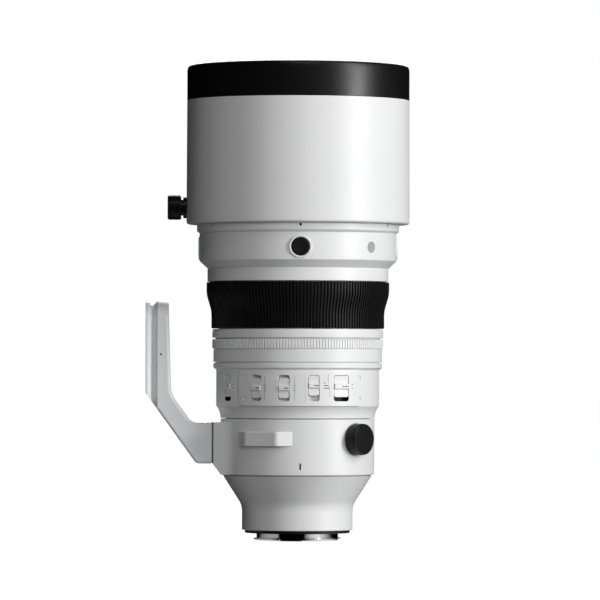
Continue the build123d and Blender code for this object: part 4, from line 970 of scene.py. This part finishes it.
def focus_grip():
    """Ribbed rubber of the focus ring, which widens forwards in a gentle S."""
    flare_low, flare_high, soft = 131.0, 145.5, 0.3

    def contour(height):
        share = min(max((height - flare_low) / (flare_high - flare_low), 0.0), 1.0)
        return GRIP_REAR + (GRIP_FRONT - GRIP_REAR) * share * share * (3 - 2 * share)

    heights = (flare_low, 133.8, 135.9, 137.8, 139.5, 141.4, 143.2, flare_high)
    under_rear, under_front = GRIP_REAR - RUBBER, GRIP_FRONT - RUBBER
    grip = ribbed(165, [(0, 0), (0.46, 0), (0.54, 0.95), (0.92, 0.95), (1, 0)], [
        (under_rear, FOCUS_LOW, 0), (GRIP_REAR - soft, FOCUS_LOW, 0.7),
        (GRIP_REAR, FOCUS_LOW + soft, 1), *((contour(height), height, 1) for height in heights),
        (GRIP_FRONT, FOCUS_HIGH - 0.35, 1), (GRIP_FRONT - 0.35, FOCUS_HIGH, 0.6),
        (under_front, FOCUS_HIGH, 0), (under_front, flare_high, 0), (under_rear, flare_low, 0),
        (under_rear, FOCUS_LOW, 0),
    ])
    name, body = "focus_grip_ribs", "focus_control"
    finish_piece(grip, name, "black_rubber", body, ("focus_grip",), sharp=radians(50))


def front_casing():
    """Widest casing section, with round openings for the four hold buttons and the badge."""
    radius, middle, inner = FRONT_RADIUS, 225.0, FRONT_BORE - FRONT_RADIUS
    groove, rim_bore, rim_face, badge_floor = FRONT_RING_RADIUS - 0.3, 5.6, 60.01, 0.6
    bm = unrolled([
        (CENTRE_RADIUS, FRONT_LOW), (FRONT_RING_RADIUS, FRONT_LOW, 0.35),
        (FRONT_RING_RADIUS, FRONT_STEP - 0.45, 0.1), (groove, FRONT_STEP - 0.35),
        (groove, FRONT_STEP - 0.05), (FRONT_RING_RADIUS, FRONT_STEP, 0.1), (58.26, 162.4, 1.0),
        (FRONT_RADIUS, FLARE_HIGH, 0.3), (FRONT_RADIUS, FRONT_HIGH, 0.25),
        (FRONT_BORE, FRONT_HIGH), (FRONT_BORE, FLARE_HIGH), (CENTRE_RADIUS, FRONT_STEP),
    ], radius)
    strips, rims = [], []
    for azimuth in BUTTONS.values():
        x = around(azimuth, middle, radius)
        outer = open_wall(bm, x, BUTTON_Z, 2 * BEZEL_RADIUS, 0.0, (0.5, 0.25), 48)
        push_loop(bm, outer, inner)
        round_edges(bm, outer, 0.12)
        open_wall(bm, x, BUTTON_Z, 2 * BEZEL_RADIUS, inner, (0.5, 0.3), 48)
        strips.append((x, BUTTON_Z, BEZEL_RADIUS + 0.35, BEZEL_RADIUS + 0.25))
        rim = turned([
            (rim_bore, FRONT_BORE), (BEZEL_RADIUS, FRONT_BORE), (BEZEL_RADIUS, rim_face, 0.4),
            (rim_bore, rim_face, 0.35),
        ], 64)
        rims.append(aim(rim, azimuth, BUTTON_Z))
    x = around(BADGE_AZIMUTH, middle, radius)
    rim = open_wall(bm, x, BUTTON_Z, 2 * BADGE_RADIUS + 0.1, 0.0, (0.6, 0.6), 40)
    sink(bm, rim, badge_floor, 0.1)
    strips.append((x, BUTTON_Z, BADGE_RADIUS + 0.5, BADGE_RADIUS + 0.5))
    wrap(bm, radius, middle, strips)
    close_up(bm, 5e-3)
    finish_piece(bm, "front_casing", "white_paint", replaces=("front_barrel",))
    finish_piece(gather(rims), "button_rims", "white_paint", replaces=("button_bezels",))

    skirt, skirt_low, skirt_high = 6.3, 55.2, 56.0
    for name, azimuth in BUTTONS.items():
        button = turned([
            (0, skirt_low), (skirt, skirt_low, 0.15), (skirt, skirt_high, 0.15),
            (BUTTON_RADIUS, skirt_high), (BUTTON_RADIUS, BUTTON_FACE, 0.45),
            (3.6, BUTTON_FACE - 0.06, 0.8), (0, BUTTON_FACE - 0.3),
        ], 64, 4)
        aim(button, azimuth, BUTTON_Z)
        cap, body = name + "_hold_cap", name + "_hold_button"
        finish_piece(button, cap, "button_plastic", body, (name + "_button",))

    edge, bottom, face = BADGE_RADIUS - 0.02, FRONT_RADIUS - badge_floor, FRONT_RADIUS - 0.16
    badge = turned([
        (0, bottom), (edge, bottom), (edge, FRONT_RADIUS - 0.07, 0.12),
        (BADGE_RADIUS - 0.55, FRONT_RADIUS - 0.06, 0.1), (BADGE_RADIUS - 0.7, face, 0.1), (0, face),
    ], 56)
    aim(badge, BADGE_AZIMUTH, BUTTON_Z)
    finish_piece(badge, "badge_inlay", "badge_plastic", replaces=("badge_disc",))


def shoulder():
    """Ring below the hood with its set screws, the hood's seat, and the filter thread."""
    radius, middle, screw_z, screw_depth = SHOULDER_RADIUS, 240.0, 184.2, 1.6
    thread, pitch, crest, thread_low, height = [], 0.75, 0.38, 198.2, 202.6
    while height > thread_low:
        thread += [(FILTER_RADIUS, height), (FILTER_RADIUS + crest, height - pitch / 2)]
        height -= pitch
    bm = unrolled([
        (FRONT_BORE, FRONT_HIGH), (58.96, FRONT_HIGH, 0.2), (radius, SHOULDER_LOW, 0.5),
        (radius, SHOULDER_HIGH, 0.12), (HOOD_SEAT_RADIUS, SHOULDER_HIGH),
        (HOOD_SEAT_RADIUS, FRONT_TUBE_HIGH, 0.35), (FILTER_RADIUS, FRONT_TUBE_HIGH, 0.25),
        *thread, (FILTER_RADIUS, 197.0), (FRONT_BORE, 197.0),
    ], radius)
    strips, screws = [], []
    for index in range(6):
        azimuth = 270 + 60 * index
        x = around(azimuth, middle, radius)
        sink(bm, open_wall(bm, x, screw_z, 1.64, 0.0, (0.3, 0.08), 24, 0.05), screw_depth)
        strips.append((x, screw_z, 1.0, 0.88))
        screw = socket_screw(0.8, radius - screw_depth, radius - 0.35, socket=0.4, depth=0.5)
        screws.append(aim(screw, azimuth, screw_z))
    wrap(bm, radius, middle, strips)
    close_up(bm)
    finish_piece(bm, "shoulder_casing", "white_paint", replaces=("shoulder_ring",))
    finish_piece(gather(screws), "shoulder_set_screws", "steel", replaces=("shoulder_screws",))


def front_glass():
    """Front lens cell, the front element and the glass behind it."""
    softened("front_cell", 0.25)
    radius, low, edge, crown, sag = 51.5, 186.0, 4.0, 6.0, 0.5
    front, back = ((radius * radius + high * high) / (2 * high) for high in (crown, sag))
    outline = [(0, low - sag)]
    for step in range(1, 16):
        out = radius * step / 16
        outline.append((out, low - sqrt(back * back - out * out) + back - sag))
    outline += [(radius, low), (radius, low + edge)]
    for step in range(23, 0, -1):
        out = radius * step / 24
        outline.append((out, low + edge + sqrt(front * front - out * out) - front + crown))
    outline.append((0, low + edge + crown))
    finish_piece(turned(outline, 192), "front_lens", "coated_glass", replaces=("front_element",))
    for node in ("inner_elements", "focus_element", "stabiliser_element"):
        softened(node, 0.0)


def hood_parts():
    """Hood tube with its seating sleeve and the holes for its clamp, rubber rim and flock."""
    radius, middle = HOOD_RADIUS, 270.0
    bm = unrolled([
        (SLEEVE_BORE, HOOD_LOW, 0.3), (HOOD_RADIUS, HOOD_LOW, 1.5),
        (HOOD_TOP_RADIUS, RIM_LOW, 0.1), (LAP_RADIUS, RIM_LOW), (LAP_RADIUS, LAP_HIGH),
        (HOOD_BORE, LAP_HIGH), (HOOD_BORE, SLEEVE_LOW), (SLEEVE_RADIUS, SLEEVE_LOW),
        (SLEEVE_RADIUS, SLEEVE_HIGH, 0.3), (SLEEVE_BORE, SLEEVE_HIGH, 0.3),
    ], radius, 256)
    x, z = around(HOOD_KNOB_AZIMUTH, middle, radius), HOOD_KNOB_Z
    stem, shoe, shoe_depth = 2 * (STEM_RADIUS + 0.3), 9.8, 2.4
    outer = open_wall(bm, x, z, stem, 0.0, (0.6, 0.6), 32, 0.3)
    push_loop(bm, outer, HOOD_BORE - radius)
    open_wall(bm, x, z, stem, HOOD_BORE - radius, (0.4, 0.4), 32, 0.1)
    sleeve_in = open_wall(bm, x, z, shoe, SLEEVE_BORE - radius, (0.4, 0.3), 32, 0.1)
    ledge = push_loop(bm, push_loop(bm, sleeve_in, shoe_depth), 0, stem / shoe)
    push_loop(bm, ledge, SLEEVE_RADIUS - SLEEVE_BORE - shoe_depth)
    open_wall(bm, x, z, stem, SLEEVE_RADIUS - radius, (0.3, 0.3), 32, 0.1)
    wrap(bm, radius, middle, [(x, z, 5.6, 5.5)])
    close_up(bm, 5e-3)
    finish_piece(bm, "hood_shell", "white_paint", "hood", ("hood_tube",))

    rim = turned([
        (HOOD_BORE, LAP_HIGH), (LAP_RADIUS, LAP_HIGH), (LAP_RADIUS, RIM_LOW),
        (HOOD_TOP_RADIUS, RIM_LOW, 0.3), (HOOD_TOP_RADIUS, LINING_HIGH, 1.2),
        (66.4, 280.85, 0.8), (64.51, HOOD_HIGH, 0.8), (RIM_BORE, HOOD_HIGH, 0.5),
        (RIM_BORE, LINING_HIGH), (HOOD_BORE, LINING_HIGH),
    ], 256)
    finish_piece(rim, "hood_rubber_rim", "rim_rubber", "hood", ("hood_rim",))

    low, face, ridge, ridges = 202.3, 63.11, 62.61, 8
    lining = [(HOOD_BORE, low), (HOOD_BORE, LINING_HIGH), (face, LINING_HIGH)]
    for index in reversed(range(ridges)):
        height = low + (LINING_HIGH - low) / ridges * (index + 0.5)
        for out, rise in ((face, 0.9), (ridge, 0.25), (ridge, -0.25), (face, -0.9)):
            lining.append((out, height + rise, 0.1))
    lining.append((face, low))
    finish_piece(turned(lining, 192, 2), "hood_flock", "black_felt", "hood", ("hood_lining",))
    softened("hood_boss", 0.25)


def clamp_knob(part, azimuth, height, radius, base, face, inside, neck=()):
    """A knurled clamp knob on its stem, hollow for the stud of its shoe."""
    rim, low, high, step = 0.85, base + 0.5, face - 0.75, 0.32
    core_radius, hollow, dish = radius - 0.3, base + 4.8, face - 0.12
    side = ribbed(round(tau * radius / 0.66), [(0, 0), (0.3, 0), (0.6, 0.24), (0.9, 0), (1, 0)], [
        (radius - 1.2, low, 0), (radius - step, low, 0), (radius, low + 0.3, 1),
        (radius, high - 0.3, 1), (radius - step, high, 0), (radius - 1.2, high, 0),
        (radius - 1.2, low, 0),
    ])
    core = turned([
        (STUD_BORE, inside), (STEM_RADIUS, inside, 0.2), *(neck or [(STEM_RADIUS, base)]),
        (core_radius, base, 0.25), (core_radius, high, 0.12), (radius - 0.12, face - 0.6, 0.1),
        (radius - rim, face, 0.12), (radius - rim - 0.25, dish, 0.08), (0, dish),
        (0, hollow), (STUD_BORE, hollow),
    ], 96)
    knob = aim(gather([core, side]), azimuth, height)
    name, body = part + "_clamp_knob", part + "_screw"
    finish_piece(knob, name, "black_anodised", body, (part + "_knob",), sharp=radians(30))


def boss_blends(joint):
    """Where the boss for the foot runs into the collar in a curve on each side."""
    blend, sunk, low, high = 12.0, 0.8, COLLAR_LOW + 0.3, COLLAR_HIGH - 2.3
    # The boss's flank runs from its corner at the joint to its foot inside the collar
    corner, foot = Vector((-joint, -19.0)), Vector((-COLLAR_RADIUS + 8.4, -23.4))
    run = (foot - corner).normalized()
    out = Vector((run.y, -run.x))
    near = corner + out * blend
    along = near.dot(run)
    reach = sqrt(along**2 - near.length_squared + (COLLAR_RADIUS + blend) ** 2)
    centre = near - run * (along + reach)
    start, end = (degrees(atan2(-way.y, -way.x)) for way in (out, centre))
    curve = bend(centre, blend, start, end, 12)
    curve.append(tuple(centre.normalized() * (COLLAR_RADIUS - sunk)))
    curve.append(tuple(centre - out * (blend + sunk)))
    blends = []
    for side in (1, -1):
        bm = bmesh.new()
        face = bm.faces.new([bm.verts.new((x, y * side, low)) for x, y in curve])
        lifted = verts_of(bmesh.ops.extrude_face_region(bm, geom=[face])["geom"])
        move(bm, (0, 0, high - low), lifted)
        face_out(bm)
        blends.append(bm)
    finish_piece(gather(blends), "collar_boss_blends", "white_paint", "collar")


def collar_parts():
    """Tripod collar, strap lugs and the bolted foot."""
    joint, crown, slot = COLLAR_RADIUS + 5.1, COLLAR_RADIUS + 3.2, COLLAR_RADIUS + 1.5

    def lug_rounding(line):
        """Most along the lugs' ends, less round their crown, least in their slots."""
        ends = [vert.co for vert in line.verts]
        near, far = sorted(hypot(end.x, end.y) for end in ends)
        if near > crown:
            return 3.6 if abs(ends[0].z - ends[1].z) > 5 else 1.3
        if near > slot:
            return 0.3
        return 1.3 if far > crown else 0.0

    softened("tripod_collar", 0.45)
    softened("strap_lugs", lug_rounding, 5)
    softened("tripod_foot", 0.5)
    softened("foot_bolts", 0.2)
    boss_blends(joint)

    # Thin packing in the joint between boss and foot, set back in the groove round it
    packing, packing_size, packing_z = bmesh.new(), (0.5, 37.5, 24.3), 54.0
    bmesh.ops.create_cube(packing, size=1.0)
    stretch(packing, packing_size)
    move(packing, (-joint, 0, packing_z))
    finish_piece(packing, "foot_joint_packing", "seal_rubber", "collar")

    # Black discs inside the small holes in both sides of the foot: painted shade for the holes'
    # dark depths
    low, high, radius, place, hole_shade_discs = 15.2, 18.6, 0.57, (-82.5, 0, 107.1), []
    for side in (-1, 1):
        hole_shade_disc = turned([(0, low), (radius, low), (radius, high), (0, high)], 24)
        tip(hole_shade_disc, -side * pi / 2)
        move(hole_shade_disc, place)
        hole_shade_discs.append(hole_shade_disc)
    finish_piece(gather(hole_shade_discs), "foot_side_plugs", "black_plastic", "collar")


mount_parts()
rear_casing()
switch_casing()
slot_trays()
panel()
marks()
switch_buttons()
aperture_ring()
middle_ring()
focus_grip()
front_casing()
shoulder()
front_glass()
hood_parts()
clamp_knob(
    "hood", HOOD_KNOB_AZIMUTH, HOOD_KNOB_Z, radius=7.5, base=70.53, face=78.83, inside=62.11,
    neck=[(STEM_RADIUS, 69.21), (5.0, 69.21), (5.0, 70.53)],
)
clamp_knob(
    "collar", COLLAR_KNOB_AZIMUTH, COLLAR_KNOB_Z, radius=9.35, base=45.9, face=53.6, inside=43.1
)
collar_parts()

# ---------------------------------------------------------------- studio

# Lengths in the studio are metres
CAMERA_BEARING = 268.6
CAMERA_PLACE, CAMERA_TARGET = Vector((-0.0782, -3.199, 0.0994)), Vector((0.0013, 0, 0.1401))
CAMERA_ROLL, FOCAL_LENGTH, SENSOR_WIDTH = 0.15, 318, 36
LENS_MIDDLE = Vector((0.0, 0.0, 0.135))
FLOOR_LEVEL, CARD_LEVEL = -0.00495, -0.0049
# The card's brightness, by degrees to the right of the camera
CARD_BANDS = [
    (-124, 0.0), (-106, 0.25), (-88, 0.4), (-50, 0.45), (-48.5, 0.0), (17, 0.0), (26, 0.4),
    (39, 0.85), (55, 1.0), (76, 0.6), (91, 0.2), (104, 0.0),
]


def bearing(turn, rise=0.0):
    """Direction from the lens, by its turn to the right of the camera and its rise."""
    angle, rise = radians(CAMERA_BEARING + turn), radians(rise)
    return Vector((cos(angle) * cos(rise), sin(angle) * cos(rise), sin(rise)))


def soft_box(name, turn, rise, distance, size, level, mirrored=True):
    """A soft box that lights a facing surface at that level, where 1 is full."""
    light = bpy.data.lights.new(name, "AREA")
    light.shape = "RECTANGLE"
    light.size, light.size_y = size
    light.energy = level * pi * pi * distance * distance
    lamp = bpy.data.objects.new(name, light)
    lamp.location = LENS_MIDDLE + bearing(turn, rise) * distance
    lamp.rotation_euler = bearing(turn, rise).to_track_quat("Z", "Y").to_euler()
    lamp.visible_glossy = mirrored
    bpy.context.scene.collection.objects.link(lamp)


def graded_card():
    """Dark card; near the lens it has a grey band on the left and a bright one on the right."""
    material = bpy.data.materials.new("graded card")
    material.use_nodes = True
    tree = material.node_tree
    tree.nodes.clear()
    place = tree.nodes.new("ShaderNodeTexCoord").outputs["Object"]
    across, ahead = (
        maths(tree, "DOT_PRODUCT", place, bearing(turn), kind="VectorMath") for turn in (90, 0)
    )
    ramp = tree.nodes.new("ShaderNodeValToRGB")
    feed(tree, ramp.inputs["Fac"], spread(tree, maths(tree, "ARCTAN2", across, ahead), -pi, pi))
    stops = ramp.color_ramp.elements
    stops[1].position = 1.0
    stops[1].color = (0, 0, 0, 1)
    for turn, level in CARD_BANDS:
        stops.new((turn + 180) / 360).color = (level, level, level, 1)
    glow = tree.nodes.new("ShaderNodeEmission")
    feed(tree, glow.inputs["Color"], ramp.outputs["Color"])
    away = maths(tree, "LENGTH", place, kind="VectorMath")
    feed(tree, glow.inputs["Strength"], spread(tree, away, 0.5, 0.9, 1.0, 0.0))
    leave = tree.nodes.new("ShaderNodeOutputMaterial")
    feed(tree, leave.inputs["Surface"], glow.outputs["Emission"])
    return material


def reflector(name, material):
    """A card all round the set, floor, wall and roof, that only reflections see."""
    bm = bmesh.new()
    line = [(0.027, CARD_LEVEL), (2.6, CARD_LEVEL), (2.6, 1.6), (0.05, 3.2)]
    points = [bm.verts.new((out, 0, height)) for out, height in line]
    for pair in zip(points, points[1:]):
        bm.edges.new(pair)
    spin(bm, bm.verts[:] + bm.edges[:], tau, 96, use_merge=True)
    card = new_object(bm, name, material)
    for ray in ("camera", "diffuse", "shadow", "transmission", "volume_scatter"):
        setattr(card, "visible_" + ray, False)


def seen_white(tree, low):
    """1 where a camera, glossy or transmission ray looks, and low for the light that it gives."""
    path = tree.nodes.new("ShaderNodeLightPath").outputs
    either = maths(tree, "MAXIMUM", path["Is Camera Ray"], path["Is Glossy Ray"])
    seen = maths(tree, "MAXIMUM", either, path["Is Transmission Ray"])
    return spread(tree, seen, 0.0, 1.0, low)


def studio():
    """White surroundings, pale floor, soft boxes, the card and the camera."""
    scene = bpy.context.scene
    scene.view_settings.view_transform = "Standard"
    world = bpy.data.worlds.new("studio")
    scene.world = world
    world.use_nodes = True
    backdrop = world.node_tree.nodes["Background"].inputs
    backdrop["Color"].default_value = (1, 1, 1, 1)
    feed(world.node_tree, backdrop["Strength"], seen_white(world.node_tree, 0.02))

    bm = bmesh.new()
    bmesh.ops.create_circle(bm, cap_ends=True, segments=96, radius=30)
    move(bm, (0, 0, FLOOR_LEVEL))
    face_out(bm)
    pale = Finish(
        "pale floor", Base_Color=(0.16, 0.16, 0.16, 1), Roughness=1.0, Specular_IOR_Level=0.0,
        Emission_Color=(1, 1, 1, 1),
    )
    away = maths(pale.tree, "LENGTH", pale.place, kind="VectorMath")
    glow = spread(pale.tree, away, 0.3, 1.0, 0.95)
    seen = maths(pale.tree, "MULTIPLY", seen_white(pale.tree, 0.0), glow)
    feed(pale.tree, pale.shader["Emission Strength"], seen)
    new_object(bm, "floor", pale.material)

    # Turn to the right of the camera, rise, distance, size, level, and whether surfaces mirror it
    soft_box("key soft box", 62, 26, 2.0, (0.45, 1.0), 0.385)
    soft_box("low soft box", 62, 4, 2.0, (0.45, 0.3), 0.37)
    soft_box("front soft box", 16, 10, 2.4, (0.7, 1.0), 0.28, False)
    soft_box("top soft box", 10, 45, 2.4, (0.9, 0.9), 0.08)
    soft_box("left fill", -55, 12, 2.4, (0.8, 1.0), 0.012, False)
    soft_box("back soft box", 178, 30, 2.2, (1.0, 1.4), 0.75)
    reflector("graded card", graded_card())

    camera = bpy.data.cameras.new("camera")
    camera.lens = FOCAL_LENGTH
    camera.sensor_width = SENSOR_WIDTH
    camera.clip_start, camera.clip_end = 0.1, 50
    view = bpy.data.objects.new("camera", camera)
    view.location = CAMERA_PLACE
    level = (CAMERA_TARGET - CAMERA_PLACE).to_track_quat("-Z", "Y").to_matrix()
    view.rotation_euler = (level @ Matrix.Rotation(radians(CAMERA_ROLL), 3, "Z")).to_euler()
    scene.collection.objects.link(view)
    scene.camera = view


studio()
